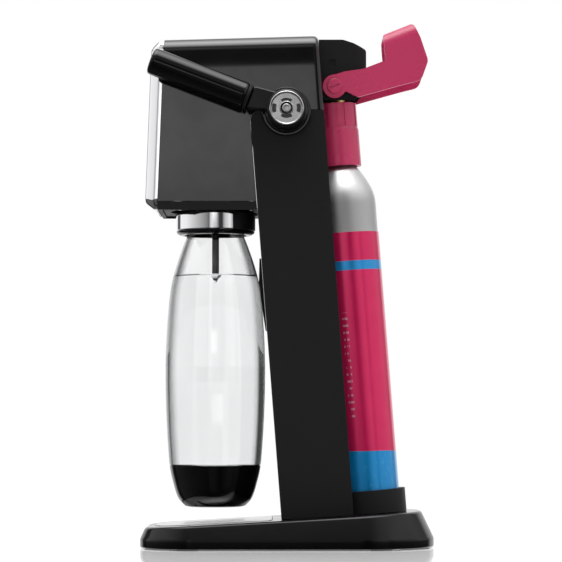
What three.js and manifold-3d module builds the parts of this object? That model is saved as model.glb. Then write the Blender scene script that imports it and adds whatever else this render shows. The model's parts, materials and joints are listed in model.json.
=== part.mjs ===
// Domestic soda carbonator, modelled as an assembly of separate solids.
// Millimetres, +Z up. The lever is on the +X side, the front faces -Y, and the origin is on the
// floor under the middle of the base.
import * as THREE from 'three';
import { mergeVertices } from 'three/addons/utils/BufferGeometryUtils.js';
import Module from 'manifold-3d';

const wasm = await Module();
wasm.setup();

// ---------------------------------------------------------------- driving dimensions

const GAP = 0.3;            // clearance between pieces that touch
const RUN = 0.5;            // running clearance of pieces that move
const WIDE = 80;            // half-width of a cut that goes right through sideways
const FAR = 200;            // reach of a cut that goes right past everything

const base = {
  length: 248,
  width: 152,
  frontCorner: 46,          // plan radius of the front corners
  rearCorner: 66,           // plan radius of the rear corners
  deckHeight: 24.7,         // height of the sloping deck over the origin
  deckSlope: 0.056,         // rise of the deck per millimetre towards the rear
  lift: 1,                  // clearance of the skirt over the floor
  skirt: 8.5,               // height of the upright part of the side wall
  draft: 0.47,              // inward lean of the wall over the skirt, per millimetre of height
  wall: 3,
  edge: 1.6,                // rounding of the deck's edge
};
const foot = { radius: 9, height: 1.7, frontY: -84, rearY: 78, sideX: 44 };
const plate = { thickness: 2.5 };
const screw = { shank: 1.6, head: 3.4, headHeight: 0.8, length: 7, sideX: 30, frontY: -96, rearY: 92 };

const tray = { front: -112, rear: -13, halfWidth: 50, frontCorner: 36, rearCorner: 9, depth: 6.6 };
const trayPlate = { thickness: 1.3, proud: 0.4, slots: 5, slotLength: 52, slotWidth: 4, pitch: 12 };

const column = {
  halfWidth: 47,
  wall: 3,
  frontFoot: -5.2,          // Y of the front edge at the deck
  frontTop: -31.8,          // Y of the front edge at the seam under the head
  depthFoot: 60.2,
  depthTop: 62.4,
  top: 368,                 // height of the seam under the head
  frontCorner: 9,
  edge: 1.5,
};

const head = {
  bottom: 283.8,
  trim: 7.1,                // height of the separate lower trim
  frontTopY: -104.1,        // join with the bezel, at the top
  frontBottomY: -109.5,     // join with the bezel, at the bottom
  frontHeight: 429.2,
  rearHeight: 432.4,
  rearTopY: 25.6,
  wall: 3,
  topEdge: 13,              // rounding of the two long top edges
  rearEdge: 6,
  notchGap: 0.2,            // more room round the column's top
};
const bezel = {
  depth: 11,
  edge: 3.2,                // plain band round the outside, before the slant
  insetSide: 7,
  insetTop: 8,
  insetBottom: 5.8,
  border: 3,
  corner: 9,
  recess: 1.2,
};
const trimDish = { depth: 1.6, rim: 4 };
const rearCap = { halfWidth: 21, rear: 67.4, top: 431.6, bottom: 379.8, wall: 1.6, planCorner: 10 };

const holder = {
  columnGap: 2.257,         // between the collar and the column's front
  pivotHeight: 292,
  swing: 16,                // degrees the bottle swings forward
  radius: 34.1,             // chrome collar
  bottom: 269,
  top: 284.6,
  wall: 2.4,
  lip: 3.4,
  blockRadius: 29.5,
  blockTop: 326,
  pinRadius: 3,
};
const nozzle = { radius: 3, bottom: 230, tip: 223 };
const bottle = {
  bottom: 34,
  bootTop: 69,
  mouth: 292,
  neckRadius: 19,
  radius: 42.6,             // at the widest height
  widestAt: 152,
  columnGap: 3,             // least room between the swell and the column's front
  wall: 1.2,
  bootWall: 1.5,
};

const cylinder = {
  tilt: 4.4,                // degrees, like the column
  axisY: 38.6,              // Y of the axis at the reference height
  axisHeight: 392,
  bottom: 34,
  radius: 30,
  label: 0.5,
  labelFrom: 12,
  labelTo: 233,
  shoulderFrom: 260,
  neckRadius: 15,
  neckBore: 8,
  wall: 3.5,                // wall of the pressure vessel
  collarRadius: 19.4,
  collarWall: 2.6,
  collarFrom: 291,
  collarTo: 345,
  valveRadius: 10,
  valveTo: 350.5,
  lift: 4,                  // rise when the handle is closed
};
const cup = { radius: 35, height: 14, wall: 3, floorGap: 0.5 };
const liner = { radius: 35.5, wall: 2, spread: 59, from: -3, to: 348 };

const bail = {
  y: 40,
  height: 391,
  rise: 21.6,               // degrees above level with the handle open
  halfWidth: 26.3,
  thickness: 2.6,
  pivotRadius: 10,
  pinRadius: 4,
  pinHead: 6.4,
};

const hub = { y: -1, height: 366.4, shaftRadius: 5, shaftFrom: 24, seat: 1.6 };
const boss = { radius: 20.7, step: 18, gap: 0.4, flange: 4.1, depth: 8.2, bush: 1.8 };
const arm = { gap: 0.6, width: 14.4, radius: 16.4, blade: 12, socket: 3.4 };
const disc = { gap: 0.4, radius: 14.5, thickness: 4, bore: 4.3, rim: 2.6, dish: 0.7 };
const grip = {
  inset: 5.8,               // from the arm's inner face to the grip's axis
  farY: -114.6,
  farZ: 407.9,
  nearY: -34.9,
  nearZ: 377.3,
  radius: 11.5,
  ring: 3,
};
const frame = { gap: 1.5, sheet: 2, front: -98, rear: 16, bottom: 287.6, top: 422 };
const rocker = { y: 10, height: 406, tube: 5, pin: 2.4, width: 8, camX: 31 };
const cam = { radius: 12, thickness: 8, tip: 3 };
const valve = { radius: 16.5, from: 352, to: 370, socket: 13, socketDepth: 6, bore: 3.7 };
const plunger = { stem: 3.1, head: 7.4, from: 360.5, to: 381.6, headHeight: 3, travel: 4 };
const spring = { radius: 5.4, wire: 0.7, turns: 4 };
const hose = { radius: 2.5 };
const rest = { top: 245, bottom: 184, halfWidth: 14, thickness: 3.4 };

// ---------------------------------------------------------------- materials

function finish(color, roughness, metalness = 0, extra = {}) {
  return new THREE.MeshStandardMaterial({ color, roughness, metalness, ...extra });
}
const glossBlack = finish(0x101012, 0.12);
const satinBlack = finish(0x1c1c1e, 0.5);
const innerBlack = finish(0x26262a, 0.6);
const chrome = finish(0xe4e6ea, 0.08, 1);
const steel = finish(0xb8bbbf, 0.32, 1);
const aluminium = finish(0xc6c9cd, 0.36, 1);
const brass = finish(0xc2a04f, 0.3, 1);
const pink = finish(0xba3d61, 0.42);
const labelPink = finish(0xc33e66, 0.4);
const rubber = finish(0x17171a, 0.85);
const clearPlastic = finish(0xeef4f6, 0.04, 0, { transparent: true, opacity: 0.3 });

// ---------------------------------------------------------------- geometry helpers

const rad = THREE.MathUtils.degToRad;

/** A closed three.js geometry as a solid for joining and cutting. */
function solid(geometry) {
  const bare = geometry.clone();
  bare.deleteAttribute('normal');
  bare.deleteAttribute('uv');
  const merged = mergeVertices(bare, 1e-4);
  const index = merged.index.array;
  const kept = [];
  for (let i = 0; i < index.length; i += 3) {
    const corners = [index[i], index[i + 1], index[i + 2]];
    if (new Set(corners).size === 3) kept.push(...corners);
  }
  const vertProperties = merged.attributes.position.array;
  const triVerts = new Uint32Array(kept);
  return new wasm.Manifold(new wasm.Mesh({ numProp: 3, vertProperties, triVerts }));
}

/** A named mesh of one solid. */
function piece(name, shape, material) {
  const body = shape.isBufferGeometry ? solid(shape) : shape;
  const mesh = body.getMesh();
  const geometry = new THREE.BufferGeometry();
  geometry.setAttribute('position', new THREE.BufferAttribute(mesh.vertProperties, 3));
  geometry.setIndex(new THREE.BufferAttribute(mesh.triVerts, 1));
  geometry.computeVertexNormals();
  const made = new THREE.Mesh(geometry, material);
  made.name = name;
  return made;
}

/** A group at a place in the side view, turned about X by an angle in degrees. */
function station(y, z, turn = 0, x = 0) {
  const group = new THREE.Group();
  group.position.set(x, y, z);
  group.rotation.x = rad(turn);
  return group;
}

/** A closed outline of [a, b, radius] corners, with each corner rounded by an arc. */
function rounded(corners, steps = 6) {
  const points = [];
  corners.forEach(([a, b, radius = 0], i) => {
    const corner = new THREE.Vector2(a, b);
    if (radius <= 0) {
      points.push(corner);
      return;
    }
    const before = corners[(i + corners.length - 1) % corners.length];
    const after = corners[(i + 1) % corners.length];
    const u = new THREE.Vector2(before[0] - a, before[1] - b).normalize();
    const v = new THREE.Vector2(after[0] - a, after[1] - b).normalize();
    const half = Math.acos(THREE.MathUtils.clamp(u.dot(v), -1, 1)) / 2;
    const centre = u.clone().add(v).normalize().multiplyScalar(radius / Math.sin(half)).add(corner);
    const start = u.clone().multiplyScalar(radius / Math.tan(half)).add(corner).sub(centre);
    const sweep = Math.sign(v.cross(u)) * (Math.PI - 2 * half);
    for (let k = 0; k <= steps; k += 1) {
      points.push(start.clone().rotateAround(new THREE.Vector2(), (sweep * k) / steps).add(centre));
    }
  });
  return points;
}

/** The corners of a rectangle. */
function box(a0, b0, a1, b1) {
  return [[a0, b0], [a1, b0], [a1, b1], [a0, b1]].map(([a, b]) => new THREE.Vector2(a, b));
}

/** An outline extruded along +Z between two heights. */
function prism(points, from, to, holes = []) {
  const shape = new THREE.Shape(points);
  holes.forEach((hole) => shape.holes.push(new THREE.Path(hole)));
  return new THREE.ExtrudeGeometry(shape, { depth: to - from, bevelEnabled: false }).translate(0, 0, from);
}

const SIDEWAYS = new THREE.Matrix4().makeBasis(
  new THREE.Vector3(0, 1, 0), new THREE.Vector3(0, 0, 1), new THREE.Vector3(1, 0, 0));

/** A side-view outline in (Y, Z), extruded along X, with optional rounded edges. */
function slab(points, fromX, toX, edge = 0, edgeSteps = 3) {
  const options = { depth: toX - fromX - 2 * edge, bevelEnabled: edge > 0, bevelSize: edge,
    bevelThickness: edge, bevelOffset: -edge, bevelSegments: edgeSteps };
  const made = new THREE.ExtrudeGeometry(new THREE.Shape(points), options);
  return made.translate(0, 0, fromX + edge).applyMatrix4(SIDEWAYS);
}

const FRONTWAYS = new THREE.Matrix4().makeBasis(
  new THREE.Vector3(-1, 0, 0), new THREE.Vector3(0, 0, 1), new THREE.Vector3(0, 1, 0));

/** A front-view outline in (-X, Z), extruded along Y. */
function frontSlab(points, fromY, toY) {
  return prism(points, fromY, toY).applyMatrix4(FRONTWAYS);
}

/** A turned piece about Z: [radius, height] points from the bottom, up the outside. */
function turned(profile, segments = 40) {
  const points = profile.map(([r, z]) => new THREE.Vector2(r, z));
  return new THREE.LatheGeometry(points, segments).rotateX(Math.PI / 2);
}

/** A plain rod or ring about Z. */
function rod(radius, from, to, bore = 0, segments = 24) {
  if (bore <= 0) return turned([[0, from], [radius, from], [radius, to], [0, to]], segments);
  return turned([[bore, from], [radius, from], [radius, to], [bore, to], [bore, from]], segments);
}

/** A piece made about Z, laid along X. */
function alongX(geometry) {
  return geometry.rotateY(Math.PI / 2);
}

/** A skin through rings of equal point counts, from the bottom ring up, closed by flat fans. */
function loft(rings) {
  const count = rings[0].length;
  const positions = rings.flat().flatMap((p) => [p.x, p.y, p.z]);
  const index = [];
  for (let ring = 0; ring < rings.length - 1; ring += 1) {
    for (let i = 0; i < count; i += 1) {
      const next = (i + 1) % count;
      const [a, b] = [ring * count + i, ring * count + next];
      index.push(a, b, b + count, a, b + count, a + count);
    }
  }
  const last = (rings.length - 1) * count;
  for (let i = 1; i < count - 1; i += 1) {
    index.push(0, i + 1, i);
    index.push(last, last + i, last + i + 1);
  }
  const geometry = new THREE.BufferGeometry();
  geometry.setAttribute('position', new THREE.Float32BufferAttribute(positions, 3));
  geometry.setIndex(index);
  return geometry;
}

/** A tube of round section along a smooth curve through points. */
function tube(points, radius, steps, sides = 8) {
  const section = new THREE.Shape();
  section.absarc(0, 0, radius, 0, 2 * Math.PI);
  const path = Array.isArray(points) ? new THREE.CatmullRomCurve3(points) : points;
  return new THREE.ExtrudeGeometry(section, { steps, extrudePath: path, curveSegments: sides });
}

// ---------------------------------------------------------------- shared lines and frames

const deckAngle = THREE.MathUtils.radToDeg(Math.atan(base.deckSlope));
const deckZ = (y) => base.deckHeight + base.deckSlope * y;
const footRear = column.frontFoot + column.depthFoot;
const topRear = column.frontTop + column.depthTop;
const columnFoot = deckZ(column.frontFoot);

/** Y of the column's front edge at a height. */
function columnFront(z) {
  return THREE.MathUtils.mapLinear(z, columnFoot, column.top, column.frontFoot, column.frontTop);
}

/** Y of the column's rear edge at a height. */
function columnRear(z) {
  return THREE.MathUtils.mapLinear(z, columnFoot, column.top, footRear, topRear);
}

/** Y of the join between head and bezel at a height. */
function headFront(z) {
  return THREE.MathUtils.mapLinear(z, head.bottom, head.frontHeight, head.frontBottomY, head.frontTopY);
}

/** Places along X of the lever's stack, from the column's side outwards. */
const bossFrom = column.halfWidth + boss.gap;
const bossTo = bossFrom + boss.depth;
const armFrom = bossTo + arm.gap;
const armTo = armFrom + arm.width;
const discFrom = armTo + disc.gap;
const discTo = discFrom + disc.thickness;
const gripX = armFrom + grip.inset;
const shaftTo = armTo - hub.seat;
const frameSide = column.halfWidth - column.wall - frame.gap;

/** Y of the bottle's axis: its collar and its swell both keep clear of the column's front. */
const bottleY = Math.min(columnFront(holder.top) - holder.columnGap - holder.radius,
  columnFront(bottle.widestAt) - bottle.columnGap - bottle.radius);

const axisSlope = Math.tan(rad(cylinder.tilt));
const axisY = (z) => cylinder.axisY + (cylinder.axisHeight - z) * axisSlope;

/** The gas cylinder's own frame: origin at its foot, Z along its axis. */
function cylinderStation() {
  return station(axisY(cylinder.bottom), cylinder.bottom, cylinder.tilt);
}

/** A solid given in the cylinder's frame, moved to the machine's frame. */
function fromCylinder(geometry) {
  const place = cylinderStation();
  place.updateMatrix();
  return solid(geometry.clone().applyMatrix4(place.matrix));
}

// ---------------------------------------------------------------- base

/** Points of the base's plan outline, counter-clockwise, moved inwards by an inset for each point. */
function baseRing(insetAt, heightAt) {
  const outline = (inset) => {
    const side = base.width / 2 - inset;
    const end = base.length / 2 - inset;
    const front = Math.max(base.frontCorner - inset, 1);
    const rear = Math.max(base.rearCorner - inset, 1);
    return rounded([[side, -end, front], [side, end, rear], [-side, end, rear], [-side, -end, front]], 7);
  };
  return outline(0).map((p, i) => {
    const moved = outline(insetAt(p.y))[i];
    return new THREE.Vector3(moved.x, moved.y, heightAt(moved.y));
  });
}

/** The base's body, shrunk by a wall thickness on every side but the bottom. */
function baseBody(wall, bottom) {
  const lean = (y) => wall + (deckZ(y) - wall - base.skirt) * base.draft;
  return solid(loft([
    baseRing(() => wall + (wall ? 0 : base.edge / 2), () => bottom),
    baseRing(() => wall, () => bottom + base.edge),
    baseRing(() => wall, () => base.skirt),
    baseRing((y) => lean(y) - base.edge * base.draft, (y) => deckZ(y) - wall - base.edge),
    baseRing((y) => lean(y) + base.edge, (y) => deckZ(y) - wall),
  ]));
}

/** The tray's plan outline on the deck, moved inwards by an inset. */
function trayOutline(inset) {
  const side = tray.halfWidth - inset;
  const front = tray.frontCorner - inset;
  const rear = tray.rearCorner - inset;
  return rounded([
    [side, tray.front + inset, front], [side, tray.rear - inset, rear],
    [-side, tray.rear - inset, rear], [-side, tray.front + inset, front]], 8);
}

/** A solid given on the sloping deck, moved to the machine's frame. */
function fromDeck(geometry) {
  const place = station(0, base.deckHeight, deckAngle);
  place.updateMatrix();
  return solid(geometry.applyMatrix4(place.matrix));
}

const screwSpots = [
  ['front_right', screw.sideX, screw.frontY], ['front_left', -screw.sideX, screw.frontY],
  ['rear_right', screw.sideX, screw.rearY], ['rear_left', -screw.sideX, screw.rearY]];

function baseShell() {
  const pocket = fromDeck(prism(trayOutline(0), -tray.depth - GAP, 20));
  const well = fromDeck(prism(trayOutline(-base.wall), -tray.depth - GAP - base.wall, -base.wall / 2));
  const underside = plateBottom() + plate.thickness + GAP;
  let body = baseBody(0, base.lift).subtract(baseBody(base.wall, -base.edge)).add(well);
  screwSpots.forEach(([, x, y]) => {
    const post = solid(rod(4, underside, deckZ(y) - base.wall / 2, 0, 16).translate(x, y, 0));
    const bore = solid(rod(screw.shank + GAP, 0, underside + screw.length, 0, 12).translate(x, y, 0));
    body = body.add(post).subtract(bore);
  });
  return body.subtract(pocket);
}

function plateBottom() {
  return foot.height + GAP;
}

function basePlate() {
  const ring = baseRing(() => base.wall + GAP, () => 0).map((p) => new THREE.Vector2(p.x, p.y));
  let body = solid(prism(ring, plateBottom(), plateBottom() + plate.thickness));
  screwSpots.forEach(([, x, y]) => {
    body = body.subtract(solid(rod(screw.shank + GAP, 0, 10, 0, 12).translate(x, y, 0)));
  });
  return body;
}

function baseScrew() {
  const under = plateBottom() - GAP - screw.headHeight;
  const seat = under + screw.headHeight;
  const tip = under + screw.length;
  return turned([[0, under], [screw.head, under], [screw.head, seat], [screw.shank, seat],
    [screw.shank, tip], [0, tip]], 12);
}

function rubberFoot() {
  return turned([[0, 0], [foot.radius - 0.5, 0], [foot.radius, 0.5], [foot.radius, foot.height],
    [0, foot.height]], 24);
}

function buildBase() {
  const group = new THREE.Group();
  group.add(piece('base_shell', baseShell(), glossBlack));
  group.add(piece('base_plate', basePlate(), innerBlack));
  screwSpots.forEach(([name, x, y]) => {
    const made = piece('base_screw_' + name, baseScrew(), steel);
    made.position.set(x, y, 0);
    group.add(made);
  });
  [['front_right', 1, foot.frontY], ['front_left', -1, foot.frontY],
    ['rear_right', 1, foot.rearY], ['rear_left', -1, foot.rearY]].forEach(([name, side, y]) => {
    const made = piece('foot_' + name, rubberFoot(), rubber);
    made.position.set(side * foot.sideX, y, 0);
    group.add(made);
  });
  return group;
}

// ---------------------------------------------------------------- drip tray

function drainSlot() {
  const half = trayPlate.slotWidth / 2;
  const length = trayPlate.slotLength / 2;
  return rounded([[-half, -length, half * 0.98], [half, -length, half * 0.98],
    [half, length, half * 0.98], [-half, length, half * 0.98]], 4);
}

function buildTray() {
  const group = station(0, base.deckHeight, deckAngle);
  const rim = trayPlate.proud - trayPlate.thickness - GAP;
  const outer = solid(prism(trayOutline(GAP), -tray.depth, rim));
  const hollow = solid(prism(trayOutline(GAP + 1.6), -tray.depth + 1.4, 10));
  group.add(piece('drip_tray', outer.subtract(hollow), satinBlack));
  const middle = (tray.front + tray.rear) / 2;
  let top = solid(prism(trayOutline(GAP), trayPlate.proud - trayPlate.thickness, trayPlate.proud));
  for (let i = 0; i < trayPlate.slots; i += 1) {
    const x = (i - (trayPlate.slots - 1) / 2) * trayPlate.pitch;
    top = top.subtract(solid(prism(drainSlot(), -5, 5).translate(x, middle, 0)));
  }
  group.add(piece('drip_plate', top, steel));
  return group;
}

// ---------------------------------------------------------------- column

/** The hole for the lever's shaft and bush through everything on the +X side. */
function hubHole() {
  const radius = hub.shaftRadius + boss.bush + GAP;
  const bore = alongX(rod(radius, column.halfWidth / 2, bossTo + GAP, 0, 32));
  return solid(bore.translate(0, hub.y, hub.height));
}

function columnOutline(grow) {
  const top = column.top + grow;
  return rounded([
    [columnFront(columnFoot) - grow, columnFoot + GAP],
    [footRear + grow, deckZ(footRear) + GAP],
    [columnRear(top) + grow, top],
    [columnFront(top) - grow, top, column.frontCorner]]);
}

function columnShell() {
  const inside = column.halfWidth - column.wall;
  const front = (z) => columnFront(z) + column.wall;
  const wallTop = head.bottom + GAP;
  const over = column.top + WIDE;
  const bay = slab([new THREE.Vector2(front(0), 0), new THREE.Vector2(FAR, 0),
    new THREE.Vector2(FAR, over), new THREE.Vector2(front(over), over)], -inside, inside);
  const mouth = slab(box(-WIDE, wallTop, 0, over), -inside, inside);
  return solid(slab(columnOutline(0), -column.halfWidth, column.halfWidth, column.edge))
    .subtract(solid(bay)).subtract(solid(mouth))
    .subtract(hubHole());
}

/** The curved wall behind which the machine's works lie, with a flange to each side wall. */
function bayLiner() {
  const outer = liner.radius + liner.wall;
  const spread = rad(liner.spread);
  const reach = column.halfWidth - column.wall - GAP;
  const steps = 14;
  const arc = (radius, from, to) => Array.from({ length: steps + 1 }, (_, i) => {
    const angle = THREE.MathUtils.lerp(from, to, i / steps);
    return new THREE.Vector2(radius * Math.sin(angle), -radius * Math.cos(angle));
  });
  const back = -liner.radius * Math.cos(spread);
  const points = [
    new THREE.Vector2(-reach, back), new THREE.Vector2(-reach, back - liner.wall),
    ...arc(outer, -spread * 0.94, spread * 0.94),
    new THREE.Vector2(reach, back - liner.wall), new THREE.Vector2(reach, back),
    ...arc(liner.radius, spread, -spread)];
  return prism(points, liner.from, liner.to);
}

function cylinderCup() {
  const inner = cylinder.radius + 1;
  const body = fromCylinder(turned([[0, -20], [cup.radius, -20], [cup.radius, cup.height],
    [inner, cup.height], [inner, -cup.floorGap], [0, -cup.floorGap]], 48));
  const below = fromDeck(prism(box(-FAR, -FAR, FAR, FAR), -WIDE, GAP));
  return body.subtract(below);
}

/** The sprung pad on the column that steadies the bottle. */
function bottleRest() {
  const side = [[rest.bottom, 0.9], [rest.bottom + 14, 2], [rest.top - 20, rest.thickness], [rest.top, 1.4]];
  const near = side.map(([z]) => new THREE.Vector2(columnFront(z) - GAP, z));
  const far = side.map(([z, depth]) => new THREE.Vector2(columnFront(z) - GAP - depth, z));
  const blank = solid(slab([...near, ...far.reverse()], -rest.halfWidth, rest.halfWidth));
  const clearance = turned([[0, bottle.bottom], ...bottleSide(bottle.bottom, rest.top + 20)
    .map((p) => [p.x + 0.4, p.y]), [0, rest.top + 20]], 48).translate(0, bottleY, 0);
  return blank.subtract(solid(clearance));
}

function buildColumn() {
  const group = new THREE.Group();
  group.add(piece('column_shell', columnShell(), satinBlack));
  const inCylinder = cylinderStation();
  inCylinder.add(piece('bay_liner', bayLiner(), innerBlack));
  group.add(inCylinder);
  group.add(piece('cylinder_cup', cylinderCup(), satinBlack));
  group.add(piece('bottle_rest', bottleRest(), innerBlack));
  return group;
}

// ---------------------------------------------------------------- head

/** The head's front view, rounded along the top edges, shrunk by a wall. */
function headFrontView(wall, bottom, bottomEdge) {
  const side = column.halfWidth - wall;
  return rounded([[-side, bottom, bottomEdge], [side, bottom, bottomEdge],
    [side, head.rearHeight + 5 - wall, 0], [-side, head.rearHeight + 5 - wall, 0]]);
}

/** The head's body over a floor height, shrunk by a wall on top, sides and rear. */
function headBody(wall, floor, open) {
  const front = headFront(floor) - (open ? 30 : 0);
  const frontTop = headFront(head.frontHeight) - (open ? 30 : 0);
  const rise = (head.rearHeight - head.frontHeight) / (head.rearTopY - head.frontTopY);
  const topAt = (y) => head.frontHeight - wall + (y - head.frontTopY) * rise;
  const rearAt = (z) => columnRear(z) - wall;
  const edge = Math.max(head.rearEdge - wall, 1);
  const side = slab(rounded([[front, floor], [rearAt(floor), floor],
    [rearAt(head.rearHeight), topAt(head.rearTopY), edge], [frontTop, topAt(frontTop)]]),
  -column.halfWidth + wall, column.halfWidth - wall);
  const slope = Math.atan(rise);
  const width = column.halfWidth - wall;
  const crown = rounded([[-width, -300], [width, -300], [width, 0, head.topEdge - wall * 0.6],
    [-width, 0, head.topEdge - wall * 0.6]], 6);
  const arch = frontSlab(crown, -220, 140).rotateX(slope)
    .translate(0, head.frontTopY, head.frontHeight - wall);
  return solid(side).intersect(solid(arch));
}

function headShell() {
  const floor = head.bottom + head.trim + GAP;
  const notch = slab(columnOutline(GAP + head.notchGap), -WIDE, WIDE);
  const doorSide = rearCap.halfWidth + GAP;
  const rearDoor = slab(box(frame.rear - 6, 340, WIDE, 426), -doorSide, doorSide);
  return headBody(0, floor, false)
    .subtract(headBody(head.wall, floor - 20, true))
    .subtract(solid(notch)).subtract(solid(rearDoor))
    .subtract(hubHole());
}

/** The lower trim, with a shallow dish below and an opening that the bottle holder swings in. */
function headTrim() {
  const top = head.bottom + head.trim;
  const rear = columnFront(head.bottom) - GAP;
  const side = column.halfWidth;
  const plan = (inset) => rounded([[side - inset, headFront(head.bottom) + inset, 2],
    [side - inset, rear - inset, 1], [-side + inset, rear - inset, 1],
    [-side + inset, headFront(head.bottom) + inset, 2]], 4);
  const swing = rad(holder.swing);
  const drop = holder.pivotHeight - head.bottom;
  const opening = holder.radius / Math.cos(swing) + drop * Math.sin(swing) + RUN;
  const blank = slab(rounded([[headFront(head.bottom), head.bottom, 1.5], [rear, head.bottom],
    [columnFront(top) - GAP, top], [headFront(top), top]]), -side, side);
  return solid(blank)
    .subtract(solid(prism(plan(head.wall), head.bottom + 3.4, top + 10)))
    .subtract(solid(prism(plan(trimDish.rim), head.bottom - 5, head.bottom + trimDish.depth)))
    .subtract(solid(rod(opening, head.bottom - 10, top + 10, 0, 48).translate(0, bottleY, 0)));
}

/** The head's front plane: X across, Y up the face, Z out of it. */
function faceStation() {
  const lean = Math.atan2(head.frontTopY - head.frontBottomY, head.frontHeight - head.bottom);
  const group = station(head.frontBottomY, head.bottom, 0);
  group.rotation.x = Math.PI / 2 - lean;
  return group;
}

/** A rounded rectangle on the face, in from the head's outline. */
function faceOutline(side, bottom, top, corner) {
  const width = column.halfWidth - side;
  const height = Math.hypot(head.frontHeight - head.bottom, head.frontTopY - head.frontBottomY);
  return rounded([[-width, bottom, corner], [width, bottom, corner],
    [width, height - top, corner], [-width, height - top, corner]], 5);
}

function buildFace() {
  const group = faceStation();
  const at = (points, z) => points.map((p) => new THREE.Vector3(p.x, p.y, z));
  const back = faceOutline(0, 0, 0, bezel.corner);
  const front = faceOutline(bezel.insetSide, bezel.insetBottom, bezel.insetTop, bezel.corner * 0.6);
  const { border } = bezel;
  const opening = faceOutline(bezel.insetSide + border, bezel.insetBottom + border,
    bezel.insetTop + border, 3);
  const ring = solid(loft([at(back, GAP), at(back, bezel.edge), at(front, bezel.depth)]))
    .subtract(solid(prism(opening, -5, 20)));
  group.add(piece('bezel_frame', ring, chrome));
  const inset = border + GAP;
  const panel = faceOutline(bezel.insetSide + inset, bezel.insetBottom + inset, bezel.insetTop + inset, 3);
  group.add(piece('front_panel', prism(panel, bezel.depth - bezel.recess - 3, bezel.depth - bezel.recess),
    glossBlack));
  return group;
}

function rearCapShell() {
  const profile = (wall) => {
    const front = (z) => columnRear(z) + GAP + 0.3 - (wall ? 10 : 0);
    const rear = rearCap.rear - wall;
    const top = rearCap.top - wall;
    const bottom = rearCap.bottom - (wall ? 10 : 0);
    return rounded([[front(bottom), bottom], [rear - 10.4, bottom, 1.5], [rear, bottom + 12, 3],
      [rear, top - 8.5, 2], [rear - 11, top - 3, 12], [rear - 20, top, 12], [front(top), top]], 4);
  };
  const plan = (wall) => {
    const side = rearCap.halfWidth - wall;
    const rear = rearCap.rear - wall;
    return rounded([[-side, 0], [side, 0], [side, rear, rearCap.planCorner - wall],
      [-side, rear, rearCap.planCorner - wall]], 5);
  };
  const body = (wall) => solid(slab(profile(wall), -40, 40)).intersect(solid(prism(plan(wall), 300, 500)));
  const square = rounded([[35, 408.5, 1], [41.5, 408.5, 1], [41.5, 414.5, 1], [35, 414.5, 1]], 2);
  const recess = slab(square, rearCap.halfWidth - rearCap.wall / 2, WIDE);
  const pins = solid(alongX(rod(bail.pinRadius + RUN, -40, 40)).translate(0, bail.y, bail.height));
  return body(0).subtract(body(rearCap.wall)).subtract(solid(recess)).subtract(pins);
}

/** The bracket inside the head that carries the lever, the rocker and the bottle holder. */
function supportFrame() {
  const side = rounded([[frame.front, frame.bottom + 8, 6], [bottleY - 9, frame.bottom],
    [bottleY + 9, frame.bottom], [columnFront(300) - 4, 300], [columnFront(300) - 4, 356],
    [frame.rear, 378, 6], [frame.rear, frame.top, 4], [frame.front, frame.top - 3, 8]], 4);
  const outer = solid(slab(side, -frameSide, frameSide));
  const inner = frameSide - frame.sheet;
  const hollow = slab(box(-FAR, 0, FAR, frame.top - 3 - frame.sheet), -inner, inner);
  const pivot = alongX(rod(holder.pinRadius + GAP, -60, 60, 0, 16))
    .translate(0, bottleY, holder.pivotHeight);
  const pin = alongX(rod(rocker.pin + GAP, -60, 60, 0, 16)).translate(0, rocker.y, rocker.height);
  return outer.subtract(solid(hollow)).subtract(solid(pivot)).subtract(solid(pin))
    .subtract(hubHole());
}

function leverBoss() {
  const bore = hub.shaftRadius + boss.bush + GAP;
  const step = bossFrom + boss.flange;
  const edge = 0.8;
  return alongX(turned([[bore, bossFrom], [boss.radius, bossFrom], [boss.radius, step - edge],
    [boss.radius - edge, step], [boss.step, step], [boss.step, bossTo - edge],
    [boss.step - edge, bossTo], [bore, bossTo], [bore, bossFrom]], 40)).translate(0, hub.y, hub.height);
}

function shaftBush(from, to) {
  return alongX(rod(hub.shaftRadius + boss.bush, from, to, hub.shaftRadius + GAP, 24))
    .translate(0, hub.y, hub.height);
}

function buildHead() {
  const group = new THREE.Group();
  group.add(piece('head_shell', headShell(), glossBlack));
  group.add(piece('head_trim', headTrim(), satinBlack));
  group.add(piece('rear_cap', rearCapShell(), satinBlack));
  group.add(piece('support_frame', supportFrame(), steel));
  group.add(piece('lever_boss', leverBoss(), satinBlack));
  group.add(piece('shaft_bush_outer', shaftBush(bossFrom, bossTo), brass));
  group.add(piece('shaft_bush_inner', shaftBush(frameSide - 6, frameSide), brass));
  group.add(buildFace());
  return group;
}

// ---------------------------------------------------------------- valve train

/** The gas valve's fixed pieces, in the cylinder's frame. */
function buildValve() {
  const group = cylinderStation();
  const ceiling = valve.from + valve.socketDepth;
  group.add(piece('valve_body', turned([[valve.socket, valve.from], [valve.radius, valve.from],
    [valve.radius, valve.to], [valve.bore, valve.to], [valve.bore, ceiling], [valve.socket, ceiling],
    [valve.socket, valve.from]], 32), brass));
  const seal = rod(valve.socket - GAP, ceiling - 3, ceiling - GAP, valve.bore + 1.4, 32);
  group.add(piece('valve_seal', seal, rubber));
  return group;
}

function buildPlunger() {
  const group = cylinderStation();
  const top = plunger.to + plunger.headHeight;
  group.add(piece('valve_plunger', turned([[0, plunger.from], [plunger.stem, plunger.from],
    [plunger.stem, plunger.to], [plunger.head, plunger.to], [plunger.head, top], [0, top]], 20), brass));
  return group;
}

class Helix extends THREE.Curve {
  constructor(radius, from, to, turns) {
    super();
    Object.assign(this, { radius, from, to, turns });
  }

  getPoint(t, target = new THREE.Vector3()) {
    const angle = t * this.turns * 2 * Math.PI;
    return target.set(this.radius * Math.cos(angle), this.radius * Math.sin(angle),
      THREE.MathUtils.lerp(this.from, this.to, t));
  }
}

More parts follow.
